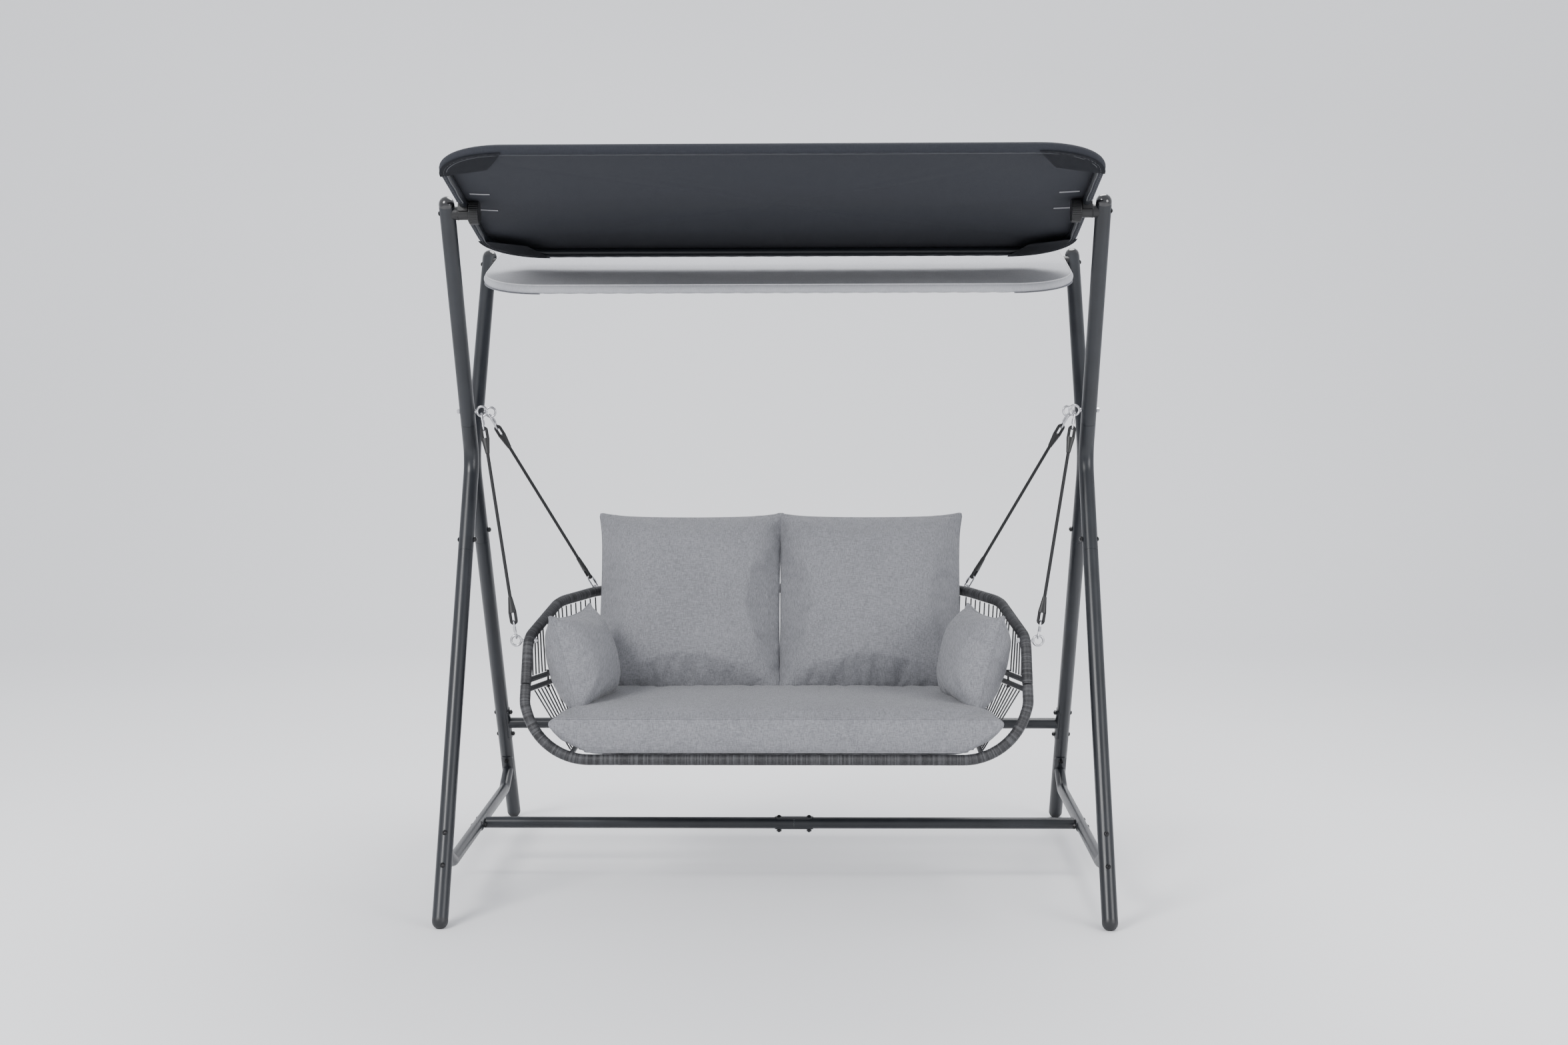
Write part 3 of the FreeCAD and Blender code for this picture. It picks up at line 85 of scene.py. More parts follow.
# ------------------------------------------------------------------ shader fields
class Field:
    """A value flowing through a material, with ordinary arithmetic."""

    def __init__(self, graph: "Graph", socket: bpy.types.NodeSocket) -> None:
        self.graph = graph
        self.socket = socket

    def _math(self, operation: str, left: object, right: object = None) -> "Field":
        """Add a node of arithmetic.

        Args:
            operation: The node's operation.
            left: The first field or number.
            right: The second one, if the operation takes two.

        Returns:
            The result as a field.
        """
        values = {0: left}
        if right is not None:
            values[1] = right
        return self.graph.add("ShaderNodeMath", values, operation=operation)

    def __add__(self, other: object) -> "Field":
        return self._math("ADD", self, other)

    __radd__ = __add__

    def __sub__(self, other: object) -> "Field":
        return self._math("SUBTRACT", self, other)

    def __rsub__(self, other: object) -> "Field":
        return self._math("SUBTRACT", other, self)

    def __mul__(self, other: object) -> "Field":
        return self._math("MULTIPLY", self, other)

    __rmul__ = __mul__

    def __truediv__(self, other: object) -> "Field":
        return self._math("DIVIDE", self, other)

    def __rtruediv__(self, other: object) -> "Field":
        return self._math("DIVIDE", other, self)

    def __pow__(self, other: object) -> "Field":
        return self._math("POWER", self, other)

    def sine(self) -> "Field":
        """The sine of this field."""
        return self._math("SINE", self)

    def absolute(self) -> "Field":
        """This field without its sign."""
        return self._math("ABSOLUTE", self)

    def clamped(self) -> "Field":
        """This field held between 0 and 1."""
        return self.graph.add("ShaderNodeClamp", {0: self})

    def part(self, axis: str) -> "Field":
        """One component of a vector field.

        Args:
            axis: "X", "Y" or "Z".

        Returns:
            The component as a scalar field.
        """
        return self.graph.add("ShaderNodeSeparateXYZ", {0: self}, output=axis)


class Graph:
    """Builds one material's nodes."""

    def __init__(self, name: str) -> None:
        self.material = bpy.data.materials.new(name)
        self.material.use_nodes = True
        self.tree = self.material.node_tree
        self.shader = self.tree.nodes["Principled BSDF"]

    def add(self, kind: str, inputs: dict, output: object = 0, **settings: object) -> Field:
        """Add a node.

        Args:
            kind: The node's type name.
            inputs: Input index or name to a number, colour or field.
            output: Index or name of the wanted output.
            settings: Attributes of the node.

        Returns:
            The chosen output as a field.
        """
        node = self.tree.nodes.new(kind)
        for key, value in settings.items():
            setattr(node, key, value)
        for key, value in inputs.items():
            if isinstance(value, Field):
                self.tree.links.new(value.socket, node.inputs[key])
            else:
                node.inputs[key].default_value = value
        return Field(self, node.outputs[output])

    def place(self) -> Field:
        """Coordinates fixed to the piece, in metres."""
        return self.add("ShaderNodeTexCoord", {}, output="Object")

    def noise(self, where: Field, scale: float, detail: float = 3.0) -> Field:
        """Cloudy values around 0.5.

        Args:
            where: The coordinates.
            scale: Clouds per metre.
            detail: How many finer layers there are.

        Returns:
            The values as a field.
        """
        return self.add("ShaderNodeTexNoise", {"Vector": where, "Scale": scale, "Detail": detail})

    def stretched(self, where: Field, by: Sequence[float]) -> Field:
        """Coordinates scaled differently along each axis."""
        return self.add("ShaderNodeVectorMath", {0: where, 1: tuple(by)}, operation="MULTIPLY")

    def between(self, low: Sequence[float], high: Sequence[float], amount: Field) -> Field:
        """A colour that goes from one to another.

        Args:
            low: The colour where amount is 0.
            high: The colour where amount is 1.
            amount: The share of the second colour.

        Returns:
            The mixed colour.
        """
        node = self.tree.nodes.new("ShaderNodeMix")
        node.data_type = "RGBA"
        node.clamp_factor = True
        self.tree.links.new(amount.socket, node.inputs[0])
        node.inputs[6].default_value = (*low, 1.0)
        node.inputs[7].default_value = (*high, 1.0)
        return Field(self, node.outputs[2])

    def set(self, name: str, value: object) -> None:
        """Give one of the shader's sockets a number, a colour or a field."""
        socket = self.shader.inputs[name]
        if isinstance(value, Field):
            self.tree.links.new(value.socket, socket)
        elif isinstance(value, (tuple, list)):
            socket.default_value = (*value, 1.0)
        else:
            socket.default_value = value

    def bump(self, height: Field, strength: float, distance: float) -> None:
        """Raise the surface by a height field.

        Args:
            height: The field, between 0 and 1.
            strength: How strongly it shows.
            distance: The height of 1, in metres.
        """
        normal = self.add("ShaderNodeBump", {"Height": height, "Strength": strength,
                                             "Distance": distance}, output="Normal")
        self.tree.links.new(normal.socket, self.shader.inputs["Normal"])


@dataclass(frozen=True)
class Finish:
    """A hard, painted, moulded or metal surface."""

    slot: Slot
    colour: tuple
    worn: tuple
    roughness: float
    metallic: float = 0.0
    coat: float = 0.0
    grain: float = 900.0
    grain_strength: float = 0.25
    CLOUD = 9.0             # patches of wear per metre
    COAT_ROUGHNESS = 0.12

    def make(self) -> bpy.types.Material:
        """Build the material."""
        g = Graph(self.slot.value)
        where = g.place()
        broad = g.noise(where, self.CLOUD, 4.0)
        fine = g.noise(where, self.grain, 2.0)
        g.set("Base Color", g.between(self.colour, self.worn, (broad - 0.35) * 2.2))
        g.set("Roughness", (fine - 0.5) * 0.12 + (broad - 0.5) * 0.16 + self.roughness)
        g.set("Metallic", self.metallic)
        g.set("Coat Weight", self.coat)
        g.set("Coat Roughness", self.COAT_ROUGHNESS)
        g.bump(fine, self.grain_strength, 0.0002)
        return g.material


@dataclass(frozen=True)
class Cloth:
    """A woven cloth with a heathered yarn."""

    slot: Slot
    dark: tuple
    light: tuple
    pitch: float
    heather: float
    sheen: float = 0.2
    bump: float = 0.35
    roughness: float = 0.88
    WARP_SLANT = 0.31       # so that upright cloth shows its weave too
    WEFT_SLANT = 0.95
    WARP_YARN = (60.0, 700.0, 700.0)
    WEFT_YARN = (700.0, 60.0, 90.0)

    def make(self) -> bpy.types.Material:
        """Build the material."""
        g = Graph(self.slot.value)
        where = g.place()
        turn = FULL_TURN / self.pitch
        x, y, z = (where.part(a) for a in "XYZ")
        warp = ((x + z * self.WARP_SLANT) * turn).sine()
        weft = ((y + z * self.WEFT_SLANT) * turn).sine()
        weave = (warp * weft) * 0.5 + 0.5
        along = g.noise(g.stretched(where, self.WARP_YARN), 1.0, 2.0)
        across = g.noise(g.stretched(where, self.WEFT_YARN), 1.0, 2.0)
        cloud = g.noise(where, 6.0, 3.0)
        yarn = (along + across - 1.0) * self.heather + (cloud - 0.5) * 0.5 + 0.5
        tone = (yarn + (weave - 0.5) * 0.25).clamped()
        g.set("Base Color", g.between(self.dark, self.light, tone))
        g.set("Roughness", (cloud - 0.5) * 0.1 + self.roughness)
        g.set("Sheen Weight", self.sheen)
        g.set("Sheen Roughness", 0.5)
        g.bump(weave + yarn * 0.6, self.bump, 0.0006)
        return g.material


@dataclass(frozen=True)
class Braid:
    """A braided or banded cord."""

    slot: Slot
    dark: tuple
    light: tuple
    pitch: float
    LEAN = 0.8              # how steeply the strands cross

    def make(self) -> bpy.types.Material:
        """Build the material."""
        g = Graph(self.slot.value)
        where = g.place()
        turn = FULL_TURN / self.pitch
        x, y, z = (where.part(a) for a in "XYZ")
        right = ((z + (x + y) * self.LEAN) * turn).sine()
        left = ((z - (x + y) * self.LEAN) * turn).sine()
        strands = (right * left) * 0.5 + 0.5
        fuzz = g.noise(where, 1400.0, 2.0)
        tone = (strands * 0.6 + (fuzz - 0.3)).clamped()
        g.set("Base Color", g.between(self.dark, self.light, tone))
        g.set("Roughness", (fuzz - 0.5) * 0.2 + 0.8)
        g.bump(strands, 0.7, 0.0008)
        return g.material


def wicker_material() -> bpy.types.Material:
    """Resin strand whose colour changes from band to band."""
    g = Graph(Slot.WICKER.value)
    where = g.place()
    tone = g.add("ShaderNodeAttribute", {}, output="Fac", attribute_name="strand")
    streak = g.noise(g.stretched(where, (260.0, 260.0, 260.0)), 1.0, 3.0)
    mix = (tone * 0.6 + (streak - 0.45) * 0.8).clamped()
    g.set("Base Color", g.between((0.011, 0.011, 0.013), (0.090, 0.091, 0.097), mix))
    g.set("Roughness", (streak - 0.5) * 0.3 + 0.52)
    g.bump(streak, 0.2, 0.0004)
    return g.material


FINISHES: tuple = (
    Finish(Slot.FRAME, (0.008, 0.0095, 0.0125), (0.014, 0.0165, 0.021), 0.34, grain_strength=0.3),
    Finish(Slot.CAP, (0.006, 0.006, 0.007), (0.012, 0.012, 0.013), 0.14, coat=0.7,
           grain_strength=0.03),
    Finish(Slot.FOOT, (0.010, 0.0105, 0.012), (0.018, 0.0185, 0.021), 0.45),
    Finish(Slot.BOLT, (0.010, 0.010, 0.011), (0.026, 0.026, 0.028), 0.36, metallic=0.5),
    Finish(Slot.ZINC, (0.50, 0.50, 0.52), (0.66, 0.66, 0.68), 0.27, metallic=1.0,
           grain_strength=0.15),
    Finish(Slot.KNUCKLE, (0.006, 0.006, 0.0065), (0.012, 0.012, 0.013), 0.42),
    Finish(Slot.SLEEVE, (0.006, 0.006, 0.0065), (0.013, 0.013, 0.014), 0.45),
    Finish(Slot.HOOP, (0.012, 0.013, 0.015), (0.020, 0.021, 0.024), 0.4),
    Finish(Slot.STRING, (0.016, 0.016, 0.018), (0.050, 0.050, 0.054), 0.55, grain=500.0),
    Cloth(Slot.FRONT_CLOTH, (0.0085, 0.010, 0.0155), (0.017, 0.0195, 0.0275), 0.0016, 1.3,
          sheen=0.0),
    # Painted sheen: the rear cover is the front cover's dark cloth, and this pale grey paints it as
    # lit by strong grazing light
    Cloth(Slot.REAR_CLOTH, (0.33, 0.335, 0.36), (0.47, 0.475, 0.50), 0.0016, 1.2, sheen=0.05),
    Cloth(Slot.CUSHION, (0.145, 0.147, 0.160), (0.262, 0.265, 0.284), 0.0024, 2.2,
          sheen=0.15, bump=0.45),
    Braid(Slot.ROPE, (0.005, 0.005, 0.006), (0.028, 0.028, 0.030), 0.004),
)


class Palette:
    """Every material, by slot, plus those of small trim."""

    def __init__(self) -> None:
        self.materials = {f.slot: f.make() for f in FINISHES}
        self.materials[Slot.WICKER] = wicker_material()
        thread = Cloth(Slot.FRONT_CLOTH, (0.035, 0.038, 0.046), (0.060, 0.064, 0.074), 0.0011, 1.0)
        tape = Cloth(Slot.REAR_CLOTH, (0.42, 0.42, 0.44), (0.60, 0.60, 0.62), 0.0012, 1.0)
        self.hem = thread.make()
        self.tape = tape.make()

    def paint(self, obj: bpy.types.Object, slot: Slot) -> None:
        """Give a piece the finish of a slot.

        Args:
            obj: The piece.
            slot: The slot it is said to have.
        """
        obj.data.materials.clear()
        obj.data.materials.append(self.materials[slot])

    def paint_cad(self) -> None:
        """Give every CAD node the finish of its record slot."""
        for entry in frame["record"]["subparts"]:
            node = NODES[entry["node"]]
            node.data.materials.clear()
            node.data.materials.append(self.materials[Slot(entry["material_slot"])])


# ------------------------------------------------------------------ mesh helpers
def new_object(name: str, bm: bmesh.types.BMesh, smooth: bool = True) -> bpy.types.Object:
    """Turn a bmesh into an object at the origin.

    Args:
        name: The object's name.
        bm: The mesh, freed here.
        smooth: Whether its faces shade smoothly.

    Returns:
        The linked object.
    """
    mesh = bpy.data.meshes.new(name)
    bm.to_mesh(mesh)
    bm.free()
    for polygon in mesh.polygons:
        polygon.use_smooth = smooth
    obj = bpy.data.objects.new(name, mesh)
    bpy.context.scene.collection.objects.link(obj)
    return obj


def rings_mesh(rings: Sequence[Sequence[Vector]], closed: bool, cap: bool) -> bmesh.types.BMesh:
    """Skin a run of rings of equal count.

    Args:
        rings: The rings, each a closed loop of points.
        closed: Whether the last ring joins the first.
        cap: Whether the two ends are filled.

    Returns:
        The mesh, with its faces outward.
    """
    bm = bmesh.new()
    made = [[bm.verts.new(p) for p in ring] for ring in rings]
    count = len(made[0])
    pairs = list(zip(made, made[1:] + (made[:1] if closed else [])))
    for low, high in pairs:
        for i in range(count):
            j = (i + 1) % count
            bm.faces.new((low[i], low[j], high[j], high[i]))
    if cap and not closed:
        bm.faces.new(list(reversed(made[0])))
        bm.faces.new(made[-1])
    bmesh.ops.recalc_face_normals(bm, faces=bm.faces)
    return bm


def sweep(points: Sequence[Vector], radii: Sequence[float], sides: int = 10,
          closed: bool = False) -> bmesh.types.BMesh:
    """A round tube along points, with a radius at each point.

    Args:
        points: The centre line.
        radii: One radius for each point.
        sides: Vertices round the tube.
        closed: Whether the line is a loop.

    Returns:
        The tube's mesh.
    """
    count = len(points)
    rings = []
    normal: Optional[Vector] = None
    for i, point in enumerate(points):
        before = points[(i - 1) % count] if closed or i else point
        after = points[(i + 1) % count] if closed or i < count - 1 else point
        tangent = (after - before).normalized()
        if normal is None:
            normal = tangent.orthogonal().normalized()
        normal = (normal - tangent * normal.dot(tangent)).normalized()
        side = tangent.cross(normal)
        turns = [FULL_TURN * k / sides for k in range(sides)]
        rings.append([point + (normal * math.cos(t) + side * math.sin(t)) * radii[i]
                      for t in turns])
    return rings_mesh(rings, closed, cap=True)


def evaluated_copy(obj: bpy.types.Object) -> bpy.types.Mesh:
    """The object's mesh with its modifiers applied."""
    graph = bpy.context.evaluated_depsgraph_get()
    graph.update()
    return bpy.data.meshes.new_from_object(obj.evaluated_get(graph))


def joined(parts: Iterable[bmesh.types.BMesh]) -> bmesh.types.BMesh:
    """Several meshes in one, the parts freed."""
    whole = bmesh.new()
    for part in parts:
        mesh = bpy.data.meshes.new("part")
        part.to_mesh(mesh)
        part.free()
        whole.from_mesh(mesh)
        bpy.data.meshes.remove(mesh)
    return whole


@dataclass(frozen=True)
class Route:
    """Straight runs joined by tangent arcs."""

    points: tuple
    radii: tuple
    ARC_STEPS = 24

    def sampled(self, step: float) -> list:
        """Points along the route.

        Args:
            step: The wanted distance between points, in metres.

        Returns:
            The points, evenly spaced.
        """
        line = [Vector(self.points[0])]
        for i, radius in enumerate(self.radii):
            before, corner, after = (Vector(p) for p in self.points[i:i + 3])
            into = (corner - before).normalized()
            out = (after - corner).normalized()
            turn = into.angle(out)
            start = corner - into * radius * math.tan(turn / 2)
            axis = into.cross(out).normalized()
            centre = start + axis.cross(into) * radius
            for k in range(self.ARC_STEPS + 1):
                part = Matrix.Rotation(turn * k / self.ARC_STEPS, 3, axis)
                line.append(part @ (start - centre) + centre)
        line.append(Vector(self.points[-1]))
        return resampled(line, step)


def resampled(line: Sequence[Vector], step: float) -> list:
    """The same line with evenly spaced points.

    Args:
        line: The points of the line.
        step: The wanted distance between points, in metres.

    Returns:
        The new points, with both ends kept.
    """
    lengths = [0.0]
    for a, b in zip(line, line[1:]):
        lengths.append(lengths[-1] + (b - a).length)
    count = max(2, round(lengths[-1] / step))
    result = []
    index = 0
    for k in range(count + 1):
        want = lengths[-1] * k / count
        while index < len(line) - 2 and lengths[index + 1] < want:
            index += 1
        span = lengths[index + 1] - lengths[index]
        share = (want - lengths[index]) / span if span else 0.0
        result.append(line[index].lerp(line[index + 1], share))
    return result


def across(points: Sequence[tuple]) -> tuple:
    """A right-hand path carried on to its mirror image."""
    return tuple(points) + tuple((-x, y, z) for x, y, z in reversed(points))


# ------------------------------------------------------------------ ropes
@dataclass(frozen=True)
class Rope:
    """One taut rope between two moulded sleeves."""

    node: str
    body: str
    top: tuple
    foot: tuple
    reach: float = 0.1152                    # from an end's ring to the sleeve's tip
    diameter: float = 0.010
    SPANS = 8

    def make(self, palette: Palette) -> bpy.types.Object:
        """Build the rope as a curve in place of its CAD node.

        Args:
            palette: The materials.

        Returns:
            The rope.
        """
        top, foot = Vector(self.top), Vector(self.foot)
        along = (foot - top).normalized()
        start, end = top + along * self.reach, foot - along * self.reach
        data = bpy.data.curves.new(self.node + "_line", "CURVE")
        data.dimensions = "3D"
        data.bevel_depth = self.diameter / 2
        data.bevel_resolution = 5
        data.use_fill_caps = True
        spline = data.splines.new("NURBS")
        points = [start.lerp(end, k / self.SPANS) for k in range(self.SPANS + 1)]
        spline.points.add(len(points) - 1)
        for slot, point in zip(spline.points, points):
            slot.co = (*point, 1.0)
        spline.order_u = 3
        spline.use_endpoint_u = True
        obj = bpy.data.objects.new(self.node + "_look", data)
        bpy.context.scene.collection.objects.link(obj)
        palette.paint(obj, Slot.ROPE)
        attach(obj, self.body)
        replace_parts(obj, self.node)
        return (obj, (end - start).length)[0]


ROPE_ENDS: dict = {
    "front": ((0.877, -0.0862655, 1.3898143), (0.7585958, -0.2553817, 0.7571366)),
    "rear": ((0.877, 0.0787032, 1.3821946), (0.5902857, 0.3259749, 0.8325477)),
}


def make_ropes(palette: Palette) -> None:
    """Build all four ropes."""
    for place, (top, foot) in ROPE_ENDS.items():
        for side, sign in (("right", 1), ("left", -1)):
            ends = [(sign * p[0], p[1], p[2]) for p in (top, foot)]
            Rope(f"{place}_rope_{side}", f"{place}_hangers", *ends).make(palette)


# ------------------------------------------------------------------ woven wraps
@dataclass(frozen=True)
class Wrap:
    """Resin strand wound tightly round a rim."""

    node: str
    route: Route
    outer: float = 0.0160
    groove: float = 0.0009
    pitch: float = 0.0036
    sides: int = 16
    STEPS = 3                 # rings of points for each turn of the strand
    TONE_POWER = 1.6        # most turns are dark, a few are pale
    UNEVENNESS = 0.00035

    def make(self, palette: Palette) -> bpy.types.Object:
        """Build the wound rim in place of its CAD node.

        Args:
            palette: The materials.

        Returns:
            The wound rim.
        """
        line = [p + CENTRE_SHIFT for p in self.route.sampled(self.pitch / self.STEPS)]
        rng = random.Random(self.node)
        bands = len(line) // self.STEPS + 2
        tones = [rng.random() ** self.TONE_POWER for _ in range(bands)]
        swell = [rng.uniform(-self.UNEVENNESS, 0.0) for _ in range(bands)]
        radii = [self.outer + swell[i // self.STEPS] - (self.groove if i % self.STEPS == 0 else 0.0)
                 for i in range(len(line))]
        obj = new_object(self.node + "_look", sweep(line, radii, self.sides))
        layer = obj.data.attributes.new("strand", "FLOAT", "POINT")
        values = [tones[i // self.sides // self.STEPS] for i in range(len(obj.data.vertices))]
        layer.data.foreach_set("value", values)
        palette.paint(obj, Slot.WICKER)
        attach(obj, "seat")
        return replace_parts(obj, self.node)


UPPER_RIM = Route(across(((0.722, -0.35332, 0.62534), (0.722, -0.290, 0.750),
                          (0.675, 0.050, 0.815), (0.558, 0.310, 0.825))),
                  (0.080, 0.300, 0.158, 0.158, 0.300, 0.080))
LOWER_RIM = Route(across(((0.722, -0.35468, 0.62266), (0.722, -0.381, 0.571),
                          (0.668, -0.428, 0.420))), (0.080, 0.190, 0.190, 0.080))


# ------------------------------------------------------------------ canopies
@dataclass
class Canopy:
    """A cloth stretched over a tilting loop of tube.

    Lengths are in metres and turns in degrees round the tube, from its outer
    side: positive over it, negative under it.
    """

    name: str
    slot: Slot
    pivot: tuple
    tilt: float
    piped: bool
    half_x: float = 0.8858
    half_y: float = 0.4968
    corner: float = 0.1938
    rail_z: float = 0.022                    # the tube's centre above the pivot
    wrap: float = 0.0138                     # the cloth's radius round the tube
    hem_turn: float = -118.0
    hub_turn: float = 4.0
    sag: float = 0.009
    steps: int = 16
    placed: Matrix = field(init=False)
    UNDER_PARTS = (1.0, 0.86, 0.72, 0.58, 0.44, 0.30, 0.15, 0.0)
    OVER_TURNS = (20, 40, 60, 78)
    TOP_INSETS = (0.0138, 0.022, 0.04, 0.065, 0.095, 0.13, 0.17)
    TOP_SHARES = (0.84, 0.68, 0.52, 0.36, 0.2, 0.08)
    LONG_SPANS = 24
    SHORT_SPANS = 36
    HUB_ROOM = 0.066
    HUB_FADE = 0.020
    SIDE_BAND = 0.03
    PUCKER = 0.05
    PUCKER_WAVES = (47.0, 53.0)
    STIFF_RIM = 0.02        # the top sheet doesn't sag this near its edge
    RIPPLE = 0.0012
    THICKNESS = 0.0011
    HEM_R = 0.0014
    STITCH_PART = 0.72
    STITCH_R = (0.0002, 0.0007, 0.0002)
    STITCH_SHARE = 0.36
    POCKET_DROP = 0.0139
    POCKET_REACH = 0.1368
    POCKET_T = 0.0009
    TAPE_X = 0.790
    TAPE_Y = 0.075
    TAPE_LENGTH = 0.056
    TAPE_HALF = 0.005
    TAPE_DROP = 0.0019
    TAPE_RIB = 0.0004
    TAPE_T = 0.0006
    TAPE_STEPS = 40
    PIPING_TURN = 62.0
    PIPING_R = 0.0019
    PIPING_OUT = 0.0006

    def __post_init__(self) -> None:
        """Work out where the canopy stands."""
        turn = Matrix.Rotation(math.radians(self.tilt), 4, "X")
        self.placed = Matrix.Translation(Vector((0.0, self.pivot[0], self.pivot[1]))) @ turn

    def outline(self, inset: float) -> list:
        """The rounded rectangle of the cloth.

        Args:
            inset: How far it is drawn in.

        Returns:
            Pairs of x and y, the same number for every inset.
        """
        x, y, r = self.half_x - inset, self.half_y - inset, self.corner - inset
        points: list = []
        for sx, sy, base in ((1, 1, 0.0), (-1, 1, 90.0), (-1, -1, 180.0), (1, -1, 270.0)):
            for k in range(self.steps + 1):
                a = math.radians(base + 90.0 * k / self.steps)
                points.append((sx * (x - r) + r * math.cos(a), sy * (y - r) + r * math.sin(a)))
            if sx == sy:
                points += [((x - r) * sx * (1 - 2 * t), sy * y)
                           for t in self.shares(self.LONG_SPANS)]
            else:
                points += [(sx * x, (y - r) * sy * (1 - 2 * t))
                           for t in self.shares(self.SHORT_SPANS)]
        return points

    @staticmethod
    def shares(count: int) -> list:
        """Even shares strictly between 0 and 1."""
        return [k / count for k in range(1, count)]

    def openness(self, x: float, y: float) -> float:
        """How far the hem is pinched up to leave the hubs free.

        Args:
            x: The point's place along the swing's width.
            y: Its distance from the pivot's line.

        Returns:
            0 for a full hem, 1 where it is pinched up.
        """
        if abs(x) < self.half_x - self.SIDE_BAND:
            return 0.0
        share = min(1.0, max(0.0, (self.HUB_ROOM - abs(y)) / self.HUB_FADE))
        return share * share * (3 - 2 * share)

    def under(self, part: float, out: float = 0.0) -> list:
        """A ring of the cloth where it wraps down and under the rail.

        Args:
            part: 0 at the rail's outer side, 1 at the hem.
            out: How far the ring stands off the cloth.

        Returns:
            The ring's points.
        """
        wave_x, wave_y = self.PUCKER_WAVES
        ring = []
        for edge, inner in zip(self.outline(0.0), self.outline(self.wrap)):
            low = self.hem_turn + (self.hub_turn - self.hem_turn) * self.openness(*edge)
            pucker = self.PUCKER * math.sin(edge[0] * wave_x + edge[1] * wave_y) * part
            turn = math.radians(low) * part + pucker
            share = 1 - (1 + out / self.wrap) * math.cos(turn)
            x, y = (e + (i - e) * share for e, i in zip(edge, inner))
            ring.append(Vector((x, y, self.rail_z + (self.wrap + out) * math.sin(turn))))
        return ring

    def rings(self) -> list:
        """Rings of points from the hem to near the middle."""
        rings = [self.under(part) for part in self.UNDER_PARTS]
        for angle in self.OVER_TURNS:
            a = math.radians(angle)
            inset = self.wrap * (1 - math.cos(a))
            rings.append([Vector((x, y, self.rail_z + self.wrap * math.sin(a)))
                          for x, y in self.outline(inset)])
        top = self.rail_z + self.wrap
        for inset in self.TOP_INSETS:
            rings.append([Vector((x, y, top)) for x, y in self.outline(inset)])
        last = rings[-1]
        for share in self.TOP_SHARES:
            rings.append([Vector((p.x * share, p.y * share, top)) for p in last])
        return rings

    def sagged(self, p: Vector) -> Vector:
        """A point of the top sheet let down between the rails.

        Args:
            p: The point on the flat sheet.

        Returns:
            The point on the sagging, slightly rippled sheet.
        """
        room_x = max(0.0, self.half_x - self.STIFF_RIM - abs(p.x)) / self.half_x
        room_y = max(0.0, self.half_y - self.STIFF_RIM - abs(p.y)) / self.half_y
        drop = self.sag * (1 - (1 - room_x) ** 4) * (1 - (1 - room_y) ** 2)
        wave = math.sin(p.x * 31.0 + 2.0 * math.sin(p.y * 9.0))
        ripple = self.RIPPLE * wave * min(1.0, room_y * 5)
        return Vector((p.x, p.y, p.z - drop - abs(ripple) * min(1.0, room_x * 8)))

    def sheet(self, palette: Palette) -> bpy.types.Object:
        """Build the cloth in place of the CAD cover.

        Args:
            palette: The materials.

        Returns:
            The sheet.
        """
        rings = self.rings()
        edge = len(self.UNDER_PARTS) + len(self.OVER_TURNS)
        rings = rings[:edge] + [[self.sagged(p) for p in ring] for ring in rings[edge:]]
        bm = rings_mesh(rings, closed=False, cap=False)
        bm.verts.ensure_lookup_table()
        count = len(rings[0])
        inner = [bm.verts[len(bm.verts) - count + i] for i in range(count)]
        middle = bm.verts.new(self.sagged(Vector((0.0, 0.0, self.rail_z + self.wrap))))
        for i in range(count):
            bm.faces.new((inner[i], inner[(i + 1) % count], middle))
        bmesh.ops.recalc_face_normals(bm, faces=bm.faces)
        bm.faces.ensure_lookup_table()
        if bm.faces[-1].normal.z < 0:
            bmesh.ops.reverse_faces(bm, faces=bm.faces)
        area = sum(f.calc_area() for f in bm.faces)
        bmesh.ops.transform(bm, matrix=self.placed, verts=bm.verts)
        obj = new_object(self.name + "_cloth", bm)
        thick = obj.modifiers.new("thickness", "SOLIDIFY")
        thick.thickness = self.THICKNESS
        thick.offset = -1.0
        palette.paint(obj, self.slot)
        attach(obj, self.name)
        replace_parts(obj, self.name + "_cover")
        extra = 2 * self.wrap * (math.radians(90.0 - self.hem_turn) - 1)
        flat = (2 * self.half_x + extra, 2 * self.half_y + extra)
        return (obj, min(area, flat[0] * flat[1]))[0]

    def trim(self, palette: Palette) -> None:
        """Add the cloth's hem, pockets, tapes and piping."""
        self.hem(palette)
        self.pockets(palette)
        self.tapes(palette)
        if self.piped:
            self.piping(palette)

    def finish(self, name: str, bm: bmesh.types.BMesh, material: bpy.types.Material,
               smooth: bool = True) -> bpy.types.Object:
        """Place a trim piece on the canopy.

        Args:
            name: The last part of the piece's name.
            bm: The piece in the canopy's own frame.
            material: Its material.
            smooth: Whether its faces shade smoothly.

        Returns:
            The piece, riding the canopy.
        """
        bmesh.ops.transform(bm, matrix=self.placed, verts=bm.verts)
        obj = new_object(f"{self.name}_{name}", bm, smooth)
        obj.data.materials.append(material)
        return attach(obj, self.name)

    def hem(self, palette: Palette) -> bpy.types.Object:
        """The folded hem under the rails, with its row of stitches."""
        points = self.under(0.99, 0.0004)
        hem = sweep(points, [self.HEM_R] * len(points), 6, closed=True)
        line = self.under(self.STITCH_PART, 0.0001)
        stitches = []
        for a, b in zip(line, line[1:]):
            half = (b - a) * self.STITCH_SHARE
            mid = (a + b) / 2
            stitches.append(sweep([mid - half, mid, mid + half], self.STITCH_R, 5))
        return self.finish("hem", joined([hem] + stitches), palette.hem)

